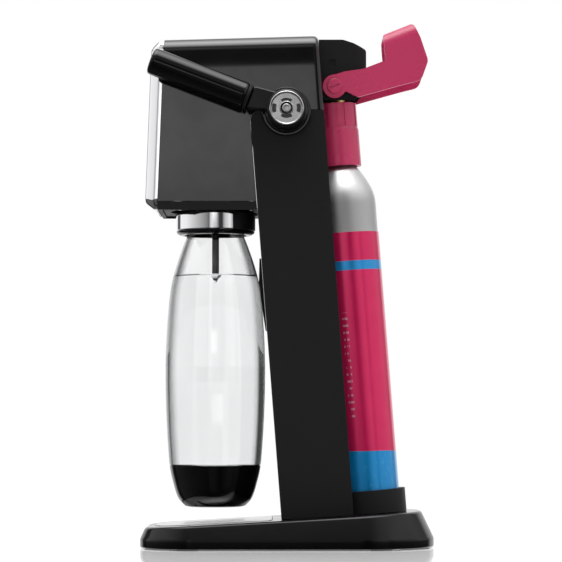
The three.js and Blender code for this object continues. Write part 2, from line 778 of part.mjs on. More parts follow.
function buildSpring() {
  const group = cylinderStation();
  const inset = spring.wire + 0.4;
  const path = new Helix(spring.radius, valve.to + inset, plunger.to - inset, spring.turns);
  group.add(piece('valve_spring', tube(path, spring.wire, spring.turns * 12, 3), steel));
  return group;
}

/** The rocker that turns the cam's push into the plunger's stroke. */
function buildRocker() {
  const group = station(rocker.y, rocker.height);
  const bore = rocker.pin + GAP;
  const from = -rocker.width / 2;
  const to = rocker.camX + rocker.width / 2;
  const sleeve = solid(alongX(rod(rocker.tube, from, to, 0, 20)));
  const foreArm = slab(rounded([[-3, -4], [3, -3], [-15.4, -28.6, 2], [-21, -26.4, 2]], 3),
    rocker.camX - rocker.width / 2, to);
  const headTop = new THREE.Vector3(0, 0, plunger.to + plunger.headHeight + GAP)
    .applyAxisAngle(new THREE.Vector3(1, 0, 0), rad(cylinder.tilt));
  const tipY = headTop.y + axisY(cylinder.bottom) - rocker.y;
  const tipZ = headTop.z + cylinder.bottom - rocker.height;
  const rearArm = slab(rounded([[0, -4], [tipY - 9, tipZ + 0.4, 2], [tipY + 5, tipZ + 1, 1],
    [tipY + 5, tipZ + 4.8, 2], [tipY - 6, tipZ + 5, 2], [0, 4]], 2), from, from + rocker.width);
  const body = sleeve.add(solid(foreArm)).add(solid(rearArm))
    .subtract(solid(alongX(rod(bore, from - 5, to + 5, 0, 20))));
  group.add(piece('valve_rocker', body, steel));
  return group;
}

function rockerPin() {
  const reach = frameSide;
  return alongX(rod(rocker.pin, -reach, reach, 0, 16)).translate(0, rocker.y, rocker.height);
}

function gasHose() {
  const start = new THREE.Vector3(-5, axisY(398) - valve.radius - 2.5, 398);
  const end = new THREE.Vector3(-(holder.blockRadius + 4.8), bottleY,
    holder.pivotHeight + holder.pinRadius + GAP);
  const path = [start, start.clone().add(new THREE.Vector3(-3, -8, 0)), new THREE.Vector3(-20, -14, 402),
    new THREE.Vector3(-30, -42, 388), new THREE.Vector3(end.x, end.y - 2, 352),
    end.clone().add(new THREE.Vector3(0, 0, 22)), end];
  return tube(path, hose.radius, 30, 4);
}

function buildWorks() {
  const group = new THREE.Group();
  group.add(piece('rocker_pin', rockerPin(), steel));
  group.add(piece('gas_hose', gasHose(), innerBlack));
  group.add(buildValve(), buildRocker(), buildPlunger(), buildSpring());
  return group;
}

// ---------------------------------------------------------------- lever

/** The grip's frame: origin at its inner end, Z along it towards its free end. */
function gripStation() {
  const rise = Math.atan2(grip.farZ - grip.nearZ, grip.nearY - grip.farY);
  const group = station(grip.nearY - hub.y, grip.nearZ - hub.height, 0, gripX);
  group.rotation.x = Math.PI / 2 - rise;
  return group;
}

const gripLength = Math.hypot(grip.farY - grip.nearY, grip.farZ - grip.nearZ);

function leverArm() {
  const near = [grip.nearY - hub.y, grip.nearZ - hub.height];
  const along = [(grip.farY - grip.nearY) / gripLength, (grip.farZ - grip.nearZ) / gripLength];
  const across = [-along[1], along[0]];
  const edge = (side, back) => [near[0] + across[0] * side + along[0] * back,
    near[1] + across[1] * side + along[1] * back];
  const start = -grip.ring - GAP;
  const upper = edge(-grip.radius + 1, start);
  const lower = edge(grip.radius - 1, start);
  const outline = rounded([[...upper, 3], [...lower, 3], [-15, -1.2, 10], [-4, -12], [0, 12]], 4);
  const blade = solid(slab(outline, gripX - arm.blade / 2, gripX + arm.blade / 2, 1.2, 2));
  const barrel = solid(alongX(rod(arm.radius, armFrom, armTo, 0, 40)));
  const bore = solid(alongX(rod(hub.shaftRadius + GAP, 0, shaftTo + GAP, 0, 24)));
  const socket = solid(alongX(rod(arm.socket, gripX, FAR, 0, 16)));
  return barrel.add(blade).subtract(bore).subtract(socket);
}

/** The chrome disc, with two pairs of curved slots. */
function hubDisc() {
  const { bore, radius: outer, rim } = disc;
  const face = discTo - disc.dish;
  const blank = turned([[bore, discFrom], [outer, discFrom], [outer, discTo - 1], [outer - 1, discTo],
    [outer - 2, discTo], [outer - rim, face], [bore, face], [bore, discFrom]], 40);
  const slot = (radius, turn, spread) => {
    const shape = new THREE.Shape();
    shape.absarc(0, 0, radius + 1, -spread, spread, false);
    shape.absarc(0, 0, radius - 1, spread, -spread, true);
    return new THREE.ExtrudeGeometry(shape, { depth: 4, bevelEnabled: false, curveSegments: 6 })
      .rotateZ(turn).translate(0, 0, discTo - 2.4);
  };
  let body = solid(blank);
  [[7, 0, 0.62], [7, Math.PI, 0.62], [10.6, Math.PI / 2, 0.42], [10.6, -Math.PI / 2, 0.42]]
    .forEach(([radius, turn, spread]) => {
      body = body.subtract(solid(slot(radius, turn, spread)));
    });
  const place = new THREE.Matrix4().makeRotationY(Math.PI / 2);
  return body.transform(place.toArray());
}

function hubScrew() {
  const hex = Array.from({ length: 6 }, (_, i) => new THREE.Vector2(
    1.6 * Math.cos((i * Math.PI) / 3), 1.6 * Math.sin((i * Math.PI) / 3)));
  const body = solid(turned([[0, shaftTo + 1], [3, shaftTo + 1], [3, discFrom - GAP], [4, discFrom],
    [4, discTo - 0.9], [3.4, discTo - 0.3], [0, discTo - 0.3]], 24));
  return body.subtract(solid(prism(hex, discTo - 1.8, discTo + 2)))
    .transform(new THREE.Matrix4().makeRotationY(Math.PI / 2).toArray());
}

function leverGrip() {
  const r = grip.radius;
  return turned([[0, 0], [r - 1, 0], [r, 1.2], [r, gripLength - 3], [r - 1, gripLength - 0.8],
    [r - 3, gripLength], [0, gripLength]], 32);
}

function leverCam() {
  const tip = rad(97);
  const outline = [];
  for (let i = 0; i <= 24; i += 1) {
    const angle = tip + rad(70) + (i / 24) * rad(220);
    outline.push(new THREE.Vector2(8 * Math.cos(angle), 8 * Math.sin(angle)));
  }
  for (let i = 0; i <= 4; i += 1) {
    const angle = tip + rad(-60 + 30 * i);
    outline.push(new THREE.Vector2((cam.radius - cam.tip) * Math.cos(tip) + cam.tip * Math.cos(angle),
      (cam.radius - cam.tip) * Math.sin(tip) + cam.tip * Math.sin(angle)));
  }
  const half = cam.thickness / 2;
  return solid(slab(outline, rocker.camX - half, rocker.camX + half))
    .subtract(solid(alongX(rod(hub.shaftRadius + GAP, 0, 60, 0, 24))));
}

function buildLever() {
  const group = station(hub.y, hub.height);
  group.add(piece('lever_arm', leverArm(), satinBlack));
  group.add(piece('hub_disc', hubDisc(), chrome));
  group.add(piece('hub_screw', hubScrew(), steel));
  group.add(piece('lever_shaft', alongX(rod(hub.shaftRadius, hub.shaftFrom, shaftTo, 0, 24)), steel));
  group.add(piece('lever_cam', leverCam(), steel));
  group.add(piece('shaft_clip', alongX(rod(7.4, hub.shaftFrom - 2, hub.shaftFrom - GAP, 0, 24)), steel));
  const inGrip = gripStation();
  inGrip.add(piece('lever_grip', leverGrip(), glossBlack));
  inGrip.add(piece('grip_ring', rod(grip.radius - 0.6, -grip.ring, -GAP, 0, 32), satinBlack));
  group.add(inGrip);
  return group;
}

// ---------------------------------------------------------------- bottle and holder

const bottleCurve = new THREE.SplineCurve([
  [25, 34.2], [31.6, 41.6], [36, 55], [38.9, 69], [41.6, 110], [bottle.radius, bottle.widestAt],
  [41.3, 186], [38.2, 220], [33, 240.6], [26, 261], [20.4, 272]].map(([r, z]) => new THREE.Vector2(r, z)));

/** Outer points of the bottle between two heights, from the bottom up. */
function bottleSide(from, to, count = 16) {
  const all = bottleCurve.getPoints(count);
  const at = (z) => {
    const i = THREE.MathUtils.clamp(all.findIndex((p) => p.y >= z), 1, all.length - 1);
    const t = (z - all[i - 1].y) / (all[i].y - all[i - 1].y);
    return new THREE.Vector2(THREE.MathUtils.lerp(all[i - 1].x, all[i].x, t), z);
  };
  const low = Math.max(from, all[0].y);
  const high = Math.min(to, all[all.length - 1].y);
  return [at(low), ...all.filter((p) => p.y > low + 1 && p.y < high - 1), at(high)];
}

function bottleBody() {
  const inBoot = bottleSide(bottle.bottom + 3, bottle.bootTop)
    .map((p) => [p.x - bottle.bootWall - GAP - 0.1, p.y]);
  inBoot[inBoot.length - 1][1] += GAP;
  const above = bottleSide(bottle.bootTop + GAP, 272).map((p) => [p.x, p.y]);
  const neck = [[bottle.neckRadius, 276], [bottle.neckRadius, bottle.mouth - 1],
    [bottle.neckRadius - 1, bottle.mouth]];
  const outer = [...inBoot, ...above, ...neck];
  const floor = inBoot[0][1];
  const ledge = bottle.bootTop + GAP;
  const inner = outer.filter(([, z]) => z > floor + 2 && z < bottle.mouth).reverse()
    .map(([r, z]) => [r - bottle.wall, z === ledge ? z + bottle.wall : z]);
  return turned([[0, floor], ...outer, [bottle.neckRadius - 2.4, bottle.mouth], ...inner,
    [inner[inner.length - 1][0] - 3, floor + 1.6], [0, floor + 1.6]], 32);
}

function bottleBoot() {
  const side = bottleSide(bottle.bottom, bottle.bootTop).map((p) => [p.x, p.y]);
  const inner = side.filter(([, z]) => z > bottle.bottom + 2.4).reverse()
    .map(([r, z]) => [r - bottle.bootWall, z]);
  const floor = bottle.bottom + 2.4;
  return turned([[0, bottle.bottom], [side[0][0] - 2, bottle.bottom], ...side, ...inner,
    [inner[inner.length - 1][0] - 2, floor], [0, floor]], 32);
}

function buildBottle() {
  const group = station(bottleY, 0);
  group.add(piece('bottle_body', bottleBody(), clearPlastic));
  group.add(piece('bottle_boot', bottleBoot(), glossBlack));
  return group;
}

function buildHolder() {
  const group = station(bottleY, 0);
  const inner = holder.radius - holder.wall;
  group.add(piece('collar_ring', turned([[inner, holder.bottom], [holder.radius - 0.5, holder.bottom],
    [holder.radius, holder.bottom + 0.5], [holder.radius, holder.top], [inner, holder.top],
    [inner, holder.bottom]], 56), chrome));
  const lipTop = holder.bottom - GAP;
  const lipBottom = lipTop - holder.lip;
  group.add(piece('collar_lip', turned([[inner - 5, lipBottom], [holder.radius - 3.4, lipBottom],
    [holder.radius - 1.2, lipTop - holder.lip * 0.55], [holder.radius - 0.6, lipTop], [inner - 5, lipTop],
    [inner - 5, lipBottom]], 48), satinBlack));
  const seat = bottle.mouth + GAP;
  const mouthBore = bottle.neckRadius + 2;
  const ring = holder.top + GAP;
  const block = solid(turned([[mouthBore, ring], [holder.blockRadius, ring],
    [holder.blockRadius, holder.blockTop - 2], [holder.blockRadius - 2, holder.blockTop],
    [0, holder.blockTop], [0, seat + 2.6], [mouthBore, seat + 2.6], [mouthBore, ring]], 40))
    .subtract(solid(rod(nozzle.radius + GAP, 200, seat + 14, 0, 16)));
  group.add(piece('carbonation_block', block, satinBlack));
  group.add(piece('bottle_seal', rod(mouthBore - GAP, seat, seat + 2.3, nozzle.radius + 4, 32), rubber));
  group.add(piece('nozzle_tube', rod(nozzle.radius, nozzle.bottom, seat + 13.5, 0, 16), satinBlack));
  const tipRadius = nozzle.radius + 1;
  group.add(piece('nozzle_tip', turned([[0, nozzle.tip], [1.2, nozzle.tip], [tipRadius, nozzle.bottom - 2],
    [tipRadius, nozzle.bottom - GAP], [0, nozzle.bottom - GAP]], 16), steel));
  group.add(piece('relief_valve', turned([[0, holder.blockTop + GAP], [5.5, holder.blockTop + GAP],
    [5.5, holder.blockTop + 9], [3.5, holder.blockTop + 13], [0, holder.blockTop + 13]], 16), brass));
  [['right', 1], ['left', -1]].forEach(([name, side]) => {
    const pin = alongX(rod(holder.pinRadius, holder.blockRadius + GAP, frameSide, 0, 16));
    const made = piece('holder_pin_' + name, pin, steel);
    made.position.z = holder.pivotHeight;
    made.rotation.z = side > 0 ? 0 : Math.PI;
    group.add(made);
  });
  return group;
}

// ---------------------------------------------------------------- gas cylinder and its handle

function buildCylinder() {
  const group = cylinderStation();
  const skin = cylinder.radius - cylinder.label - 0.2;
  const neckTop = cylinder.collarFrom + 12;
  const hollow = skin - cylinder.wall;
  group.add(piece('cylinder_body', turned([[0, 0], [skin - 4, 0], [skin - 1.2, 1.2], [skin, 4],
    [skin, cylinder.shoulderFrom], [skin - 0.9, 266], [skin - 2.6, 271], [skin - 5.5, 277.5],
    [skin - 9.2, 284], [skin - 12, 288.5], [cylinder.neckRadius, 291], [cylinder.neckRadius, neckTop],
    [cylinder.neckBore, neckTop], [cylinder.neckBore, 284], [hollow - 9, 276], [hollow, 258],
    [hollow, cylinder.wall + 4], [hollow - 4, cylinder.wall], [0, cylinder.wall]], 40), aluminium));
  const inner = cylinder.radius - cylinder.label;
  group.add(piece('cylinder_label', rod(cylinder.radius, cylinder.labelFrom, cylinder.labelTo, inner, 40),
    labelPink));
  const r = cylinder.collarRadius;
  const bore = r - cylinder.collarWall;
  const collar = solid(turned([[bore, cylinder.collarFrom], [r + 0.3, cylinder.collarFrom],
    [r + 0.3, 322], [r - 0.3, 324], [r - 0.3, cylinder.collarTo], [bore, cylinder.collarTo],
    [bore, cylinder.collarFrom]], 40));
  const slots = [0, 1, 2, 3, 4, 5].map((i) => solid(new THREE.BoxGeometry(8, 1.4, 24)
    .translate(r, 0, 336).rotateZ(rad(5 + i * 60))));
  group.add(piece('cylinder_collar', slots.reduce((body, slot) => body.subtract(slot), collar), pink));
  const seat = neckTop + GAP;
  const { valveRadius, valveTo } = cylinder;
  group.add(piece('cylinder_valve', turned([[0, seat], [13, seat], [13, seat + 8], [valveRadius, seat + 10],
    [valveRadius, valveTo], [2.2, valveTo], [2.2, valveTo + 1.5], [0, valveTo + 1.5]], 32), brass));
  return group;
}

/** The handle's side view, with u along the arm and v across it. */
function bailOutline() {
  return rounded([[0, 9.2], [12, 8.6, 4], [18, 7.2, 8], [28, 4.8, 8], [48.4, 4.6, 2], [54.9, 26.6, 3],
    [82.4, 26.8, 4], [83.4, 12, 20], [82.2, -9, 8], [70.4, -22.4, 8], [54, -20.2, 30], [15, -16.1, 1.5],
    [7.6, -7.8, 2], [0, -6]], 3);
}

function bailHandle() {
  const side = bail.halfWidth;
  const inner = side - bail.thickness;
  const blank = slab(bailOutline(), -side, side);
  const pivot = alongX(rod(bail.pivotRadius, -side, side, 0, 32));
  const crown = 26.8;
  const bend = 11;
  const across = (half, top, corner) => frontSlab(rounded([[-half, -60], [half, -60],
    [half, top, corner], [-half, top, corner]], 6), -30, 120);
  const outer = across(side, crown, bend);
  const hollow = across(inner, crown - bail.thickness - 0.6, bend - bail.thickness);
  return solid(blank).add(solid(pivot)).intersect(solid(outer)).subtract(solid(hollow));
}

function buildBail() {
  const group = station(bail.y, bail.height, bail.rise);
  const body = bailHandle().subtract(solid(alongX(rod(bail.pinRadius + GAP, -60, 60, 0, 24))));
  group.add(piece('cylinder_bail', body, pink));
  [['right', 0], ['left', Math.PI]].forEach(([name, turn]) => {
    const end = rearCap.halfWidth - rearCap.wall;
    const seat = bail.halfWidth + GAP;
    const top = bail.halfWidth + 1.5;
    const pin = solid(turned([[0, end], [bail.pinRadius, end], [bail.pinRadius, seat], [bail.pinHead, seat],
      [bail.pinHead, top - 0.4], [bail.pinHead - 0.5, top], [0, top]], 28));
    const slot = solid(new THREE.BoxGeometry(0.9, 9.4, 2).translate(0, 0, top));
    const sideways = new THREE.Matrix4().makeRotationY(Math.PI / 2);
    const made = piece('bail_pin_' + name, pin.subtract(slot).transform(sideways.toArray()), pink);
    made.rotation.z = turn;
    group.add(made);
  });
  return group;
}

// ---------------------------------------------------------------- assembly

const machine = new THREE.Group();
machine.add(buildBase(), buildTray(), buildColumn(), buildHead(), buildWorks(), buildLever(),
  buildHolder(), buildBottle(), buildCylinder(), buildBail());

export default machine;
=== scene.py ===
"""Looks of a domestic soda carbonator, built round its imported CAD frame."""
import json
import math

import bmesh
import bpy
from mathutils import Matrix, Vector


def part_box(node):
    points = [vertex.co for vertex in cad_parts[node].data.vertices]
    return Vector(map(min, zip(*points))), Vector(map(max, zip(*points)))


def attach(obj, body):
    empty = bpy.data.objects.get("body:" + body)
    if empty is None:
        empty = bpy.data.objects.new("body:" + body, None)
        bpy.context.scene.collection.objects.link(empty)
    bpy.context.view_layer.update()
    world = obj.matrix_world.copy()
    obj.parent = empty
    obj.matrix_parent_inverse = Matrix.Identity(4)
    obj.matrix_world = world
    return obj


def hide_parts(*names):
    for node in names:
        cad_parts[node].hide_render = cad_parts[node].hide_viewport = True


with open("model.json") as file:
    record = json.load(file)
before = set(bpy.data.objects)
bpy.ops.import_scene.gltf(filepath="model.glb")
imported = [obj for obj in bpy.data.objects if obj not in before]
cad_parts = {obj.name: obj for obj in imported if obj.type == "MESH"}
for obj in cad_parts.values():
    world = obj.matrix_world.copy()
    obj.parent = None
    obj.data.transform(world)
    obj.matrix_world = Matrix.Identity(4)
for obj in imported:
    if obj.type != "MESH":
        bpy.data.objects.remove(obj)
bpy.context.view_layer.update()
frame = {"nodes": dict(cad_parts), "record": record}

nodes = frame["nodes"]
MM = 0.001


# ------------------------------------------------------------------ shader helpers

class Nodes:
    """A small helper round one material's or world's node tree."""

    def __init__(self, tree):
        self.tree = tree

    def add(self, kind, inputs=(), **settings):
        node = self.tree.nodes.new(kind)
        for key, value in settings.items():
            setattr(node, key, value)
        for key, value in dict(inputs).items():
            self.put(value, node.inputs[key])
        return node

    def put(self, value, socket):
        if isinstance(value, bpy.types.NodeSocket):
            self.tree.links.new(value, socket)
        else:
            socket.default_value = value

    def math(self, operation, *values, clamp=False):
        node = self.add("ShaderNodeMath", dict(enumerate(values)), operation=operation, use_clamp=clamp)
        return node.outputs[0]

    def ramp(self, value, low, high, smooth=True, to_low=0.0, to_high=1.0):
        kind = "SMOOTHSTEP" if smooth else "LINEAR"
        return self.add("ShaderNodeMapRange", {0: value, 1: low, 2: high, 3: to_low, 4: to_high},
                        interpolation_type=kind).outputs[0]

    def mix(self, factor, a, b):
        node = self.add("ShaderNodeMix", data_type="RGBA")
        self.put(factor, node.inputs[0])
        self.put(a, node.inputs[6])
        self.put(b, node.inputs[7])
        return node.outputs[2]

    def noise(self, scale, detail=3.0, stretch=(1, 1, 1), distortion=0.0):
        place = self.add("ShaderNodeTexCoord").outputs["Object"]
        moved = self.add("ShaderNodeMapping", {"Vector": place, "Scale": stretch}).outputs[0]
        made = self.add("ShaderNodeTexNoise", {"Vector": moved, "Scale": scale, "Detail": detail,
                                               "Distortion": distortion})
        return made.outputs["Fac"]

    def bump(self, height, strength, distance=0.0002, normal=None):
        node = self.add("ShaderNodeBump", {"Height": height, "Strength": strength, "Distance": distance})
        if normal is not None:
            self.put(normal, node.inputs["Normal"])
        return node.outputs["Normal"]


def rgb(red, green, blue):
    """An sRGB colour, 0 to 255, as linear RGBA."""
    def linear(c):
        c /= 255
        return c / 12.92 if c <= 0.04045 else ((c + 0.055) / 1.055) ** 2.4
    return (linear(red), linear(green), linear(blue), 1.0)


def material(name, color, roughness, metallic=0.0, **sockets):
    """A Principled material and its helper; colour and roughness still take their variation."""
    made = bpy.data.materials.new(name)
    made.use_nodes = True
    nt = Nodes(made.node_tree)
    shader = made.node_tree.nodes["Principled BSDF"]
    shader.inputs["Base Color"].default_value = color
    shader.inputs["Roughness"].default_value = roughness
    shader.inputs["Metallic"].default_value = metallic
    for key, value in sockets.items():
        shader.inputs[key.replace("_", " ")].default_value = value
    return made, nt, shader


def moulded(name, color, roughness, grain=0.15, grain_scale=2600.0, smudge=0.05, drift=0.12, **sockets):
    """Moulded plastic: a fine grain, a slow drift of tone, faint handling marks in the gloss."""
    made, nt, shader = material(name, color, roughness, **sockets)
    slow = nt.noise(9.0, 4.0)
    lighter = tuple(min(1.0, c * (1 + drift)) for c in color[:3]) + (1.0,)
    darker = tuple(c * (1 - drift) for c in color[:3]) + (1.0,)
    nt.put(nt.mix(slow, darker, lighter), shader.inputs["Base Color"])
    marks = nt.noise(38.0, 5.0, distortion=0.6)
    rough = nt.ramp(marks, 0.3, 0.75, True, roughness - smudge * 0.5, roughness + smudge)
    nt.put(rough, shader.inputs["Roughness"])
    nt.put(nt.bump(nt.noise(grain_scale, 2.0), grain, 0.00004), shader.inputs["Normal"])
    return made


def metal(name, color, roughness, stretch=(1, 1, 1), scale=900.0, depth=0.12, spread=0.08, **sockets):
    """Metal with fine marks along one direction."""
    made, nt, shader = material(name, color, roughness, 1.0, **sockets)
    lines = nt.noise(scale, 3.0, stretch)
    cloud = nt.noise(30.0, 4.0)
    rough = nt.math("ADD", nt.ramp(lines, 0.3, 0.7, True, -spread * 0.5, spread * 0.5),
                    nt.ramp(cloud, 0.3, 0.7, True, roughness - spread * 0.3, roughness + spread * 0.3))
    nt.put(rough, shader.inputs["Roughness"])
    darker = tuple(c * 0.93 for c in color[:3]) + (1.0,)
    nt.put(nt.mix(cloud, darker, color), shader.inputs["Base Color"])
    nt.put(nt.bump(lines, depth, 0.00003), shader.inputs["Normal"])
    return made


gloss_black = moulded("gloss_black", rgb(6, 6, 7), 0.13, 0.03, 1500.0, 0.03, Specular_IOR_Level=0.42)
side_black = moulded("side_black", rgb(7, 7, 8), 0.11, 0.02, 1800.0, 0.02, Specular_IOR_Level=0.62)
satin_black = moulded("satin_black", rgb(22, 22, 23), 0.5, 0.3, 2400.0, 0.05, Specular_IOR_Level=0.2)
inner_black = moulded("inner_black", rgb(20, 20, 22), 0.6, 0.3, 1700.0, Specular_IOR_Level=0.3)
chrome = metal("chrome", (0.86, 0.865, 0.875, 1.0), 0.055, depth=0.01, spread=0.02)
steel = metal("steel", (0.62, 0.625, 0.63, 1.0), 0.26, (1, 14, 14), 700.0, 0.2)
aluminium = metal("aluminium", (0.62, 0.62, 0.625, 1.0), 0.44, (2, 2, 14), 260.0, 0.2, 0.2)
brass = metal("brass", (0.62, 0.46, 0.18, 1.0), 0.28, (10, 1, 1), 600.0, 0.15)
pink = moulded("pink", rgb(174, 43, 84), 0.28, 0.14, 2200.0, 0.05, 0.05, Subsurface_Weight=0.08,
               Subsurface_Radius=(0.004, 0.001, 0.0015), Subsurface_Scale=0.5)
rubber = moulded("rubber", rgb(24, 24, 26), 0.8, 0.5, 1500.0)
base_gloss = moulded("base_gloss", rgb(6, 6, 7), 0.14, 0.03, 1500.0, 0.03, Specular_IOR_Level=0.24)
hub_metal = metal("hub_metal", (0.58, 0.58, 0.585, 1.0), 0.24, (1, 1, 30), 500.0, 0.15, 0.08)
grip_black = moulded("grip_black", rgb(6, 6, 7), 0.1, 0.02, 1500.0, 0.02, Specular_IOR_Level=0.34)
arm_black = moulded("arm_black", rgb(9, 9, 10), 0.3, 0.08, 2000.0, 0.05, Specular_IOR_Level=0.35)


def printed_label():
    """The cylinder's printed sleeve: a pink field, a narrow blue band, a blue foot and a few plain marks."""
    made, nt, shader = material("label_print", rgb(200, 40, 98), 0.2, 0.5, Coat_Weight=0.25,
                                  Coat_Roughness=0.08)
    place = nt.add("ShaderNodeTexCoord").outputs["Object"]
    split = nt.add("ShaderNodeSeparateXYZ", {0: place})
    across, side, height = split.outputs[0], split.outputs[1], split.outputs[2]
    turn = nt.math("MULTIPLY", nt.math("ARCTAN2", side, across), 180 / math.pi)

    def between(value, low, high):
        return nt.math("MULTIPLY", nt.math("GREATER_THAN", value, low), nt.math("LESS_THAN", value, high))

    field = nt.mix(nt.noise(60.0, 3.0), rgb(196, 24, 82), rgb(208, 34, 92))
    wave = nt.math("MULTIPLY", nt.math("SINE", nt.math("MULTIPLY", across, 70.0)), 0.0012)
    foot_top = nt.math("ADD", wave, nt.math("MULTIPLY_ADD", side, -0.06, 0.0465))
    in_foot = nt.math("LESS_THAN", height, foot_top)
    streak = nt.ramp(nt.noise(420.0, 5.0, (1, 1, 0.35), 1.2), 0.6, 0.72)
    foot = nt.mix(nt.math("MULTIPLY", streak, 0.4), rgb(16, 132, 194), rgb(96, 178, 216))
    color = nt.mix(in_foot, field, foot)
    color = nt.mix(between(height, 0.2007, 0.2086), color, rgb(34, 136, 198))
    # plain pale strokes, in short rows near the rear of the near side: no letters
    rows = nt.math("LESS_THAN", nt.math("FRACT", nt.math("MULTIPLY", height, 170.0)), 0.3)
    dashes = nt.math("GREATER_THAN", nt.noise(520.0, 1.0, (1, 1, 0.12)), 0.47)
    strokes = nt.math("MULTIPLY", nt.math("MULTIPLY", rows, dashes),
                      nt.math("MULTIPLY", between(turn, -15, -6), between(height, 0.075, 0.165)))
    color = nt.mix(nt.math("MULTIPLY", strokes, 0.5), color, rgb(214, 190, 202))
    nt.put(color, shader.inputs["Base Color"])
    nt.put(nt.bump(nt.noise(1200.0, 2.0), 0.05, 0.00003), shader.inputs["Normal"])
    return made


def glass(name, color, ior, roughness=0.0, edge=None):
    made, nt, shader = material(name, color, roughness, Transmission_Weight=1.0, IOR=ior)
    haze = nt.ramp(nt.noise(24.0, 3.0), 0.4, 0.8, True, roughness, roughness + 0.012)
    nt.put(haze, shader.inputs["Roughness"])
    if edge:                                             # a long way through the wall at the bottle's sides, and painted shade there: the wall's colour darkens where it is seen at a slant
        slant = nt.add("ShaderNodeLayerWeight", {0: 0.5}).outputs["Facing"]
        nt.put(nt.mix(nt.ramp(slant, 0.32, 0.54), color, edge), shader.inputs["Base Color"])
    return made


# the bottle's wall takes painted shade at its sides: a darker colour where it is seen at a slant
bottle_plastic = glass("bottle_plastic", (0.95, 0.954, 0.955, 1.0), 1.5, edge=(0.26, 0.265, 0.27, 1.0))
water_fill = glass("water_fill", (0.965, 0.97, 0.972, 1.0), 1.33)
label_print = printed_label()


# ------------------------------------------------------------------ mesh helpers, in millimetres

def rounded(corners, steps=12):
    """A closed outline of (a, b[, radius]) corners, with each corner rounded by an arc."""
    points, count = [], len(corners)
    for i, corner in enumerate(corners):
        here = Vector(corner[:2])
        radius = corner[2] if len(corner) > 2 else 0
        if radius <= 0:
            points.append(tuple(here))
            continue
        u = (Vector(corners[i - 1][:2]) - here).normalized()
        v = (Vector(corners[(i + 1) % count][:2]) - here).normalized()
        half = math.acos(max(-1, min(1, u.dot(v)))) / 2
        centre = here + (u + v).normalized() * radius / math.sin(half)
        start = here + u * radius / math.tan(half) - centre
        sweep = math.copysign(math.pi - 2 * half, v.cross(u))
        for k in range(steps + 1):
            turned = start.copy()
            turned.rotate(Matrix.Rotation(sweep * k / steps, 2))
            points.append(tuple(turned + centre))
    return points


def inset(points, depth):
    """An outline moved inwards by a depth (its points go counter-clockwise)."""
    moved, count = [], len(points)
    for i, p in enumerate(points):
        before, after = Vector(points[i - 1]), Vector(points[(i + 1) % count])
        a, b = (Vector(p) - before), (after - Vector(p))
        a = a.normalized() if a.length > 1e-7 else b.normalized()
        b = b.normalized() if b.length > 1e-7 else a
        normal = Vector((-a.y - b.y, a.x + b.x))
        normal = normal.normalized() if normal.length > 1e-7 else Vector((-a.y, a.x))
        share = max(0.35, normal.dot(Vector((-a.y, a.x))))
        moved.append(tuple(Vector(p) + normal * depth / share))
    return moved


def shape(name, points, faces):
    """A mesh object from points in millimetres."""
    mesh = bpy.data.meshes.new(name)
    mesh.from_pydata([tuple(c * MM for c in p) for p in points], [], faces)
    made = bpy.data.objects.new(name, mesh)
    bpy.context.scene.collection.objects.link(made)
    bm = bmesh.new()
    bm.from_mesh(mesh)
    bmesh.ops.remove_doubles(bm, verts=bm.verts, dist=1e-7)
    bmesh.ops.recalc_face_normals(bm, faces=bm.faces)
    bm.to_mesh(mesh)
    bm.free()
    return made


def loft(name, rings, cap_start=True, cap_end=True):
    """A skin through closed rings of equal point counts."""
    count = len(rings[0])
    points = [p for ring in rings for p in ring]
    faces = []
    for r in range(len(rings) - 1):
        for i in range(count):
            j = (i + 1) % count
            faces.append((r * count + i, r * count + j, (r + 1) * count + j, (r + 1) * count + i))
    if cap_start:
        faces.append(tuple(reversed(range(count))))
    if cap_end:
        faces.append(tuple(range((len(rings) - 1) * count, len(rings) * count)))
    return shape(name, points, faces)


def soften(profile, radius, steps=4):
    """Round the inner corners of an open (radius, height) profile."""
    made = [profile[0]]
    for i in range(1, len(profile) - 1):
        here = Vector(profile[i][:2])
        before, after = Vector(profile[i - 1][:2]), Vector(profile[i + 1][:2])
        u, v = before - here, after - here
        own = profile[i][2] if len(profile[i]) > 2 else radius
        reach = min(own, u.length * 0.48, v.length * 0.48)
        if reach < 0.02 or u.normalized().dot(v.normalized()) < -0.985:
            made.append(tuple(here))
            continue
        a, b = here + u.normalized() * reach, here + v.normalized() * reach
        for k in range(steps + 1):
            t = k / steps
            made.append(tuple(a.lerp(here, t).lerp(here.lerp(b, t), t)))
    made.append(tuple(profile[-1][:2]))
    return made


def lathe(name, profile, place, segments=96, closed=False):
    """A turned skin about Z from (radius, height) points, set in place by a matrix."""
    rings = list(profile) + ([profile[0]] if closed else [])
    points, faces, index = [], [], []
    for r, z in rings:
        if r < 1e-6:
            index.append([len(points)])
            points.append(place @ Vector((0, 0, z)))
        else:
            index.append(list(range(len(points), len(points) + segments)))
            points += [place @ Vector((r * math.cos(2 * math.pi * k / segments),
                                       r * math.sin(2 * math.pi * k / segments), z)) for k in range(segments)]
    for low, high in zip(index, index[1:]):
        for k in range(segments):
            n = (k + 1) % segments
            face = [low[k % len(low)], low[n % len(low)], high[n % len(high)], high[k % len(high)]]
            face = list(dict.fromkeys(face))
            if len(face) > 2:
                faces.append(face)
    return shape(name, points, faces)


def slab(name, outline, x0, x1, edge=0.0, steps=4):
    """A side-view outline (Y, Z) extruded along X, with rounded edges."""
    levels = [(x0, 0)]
    if edge:
        turns = [k / steps * math.pi / 2 for k in range(steps, -1, -1)]
        levels = [(x0 + edge * (1 - math.sin(a)), edge * (1 - math.cos(a))) for a in turns]
    levels += [(x0 + x1 - x, d) for x, d in reversed(levels)]
    rings = []
    for x, d in levels:
        rings.append([(x, y, z) for y, z in (inset(outline, d) if d else outline)])
    return loft(name, rings)


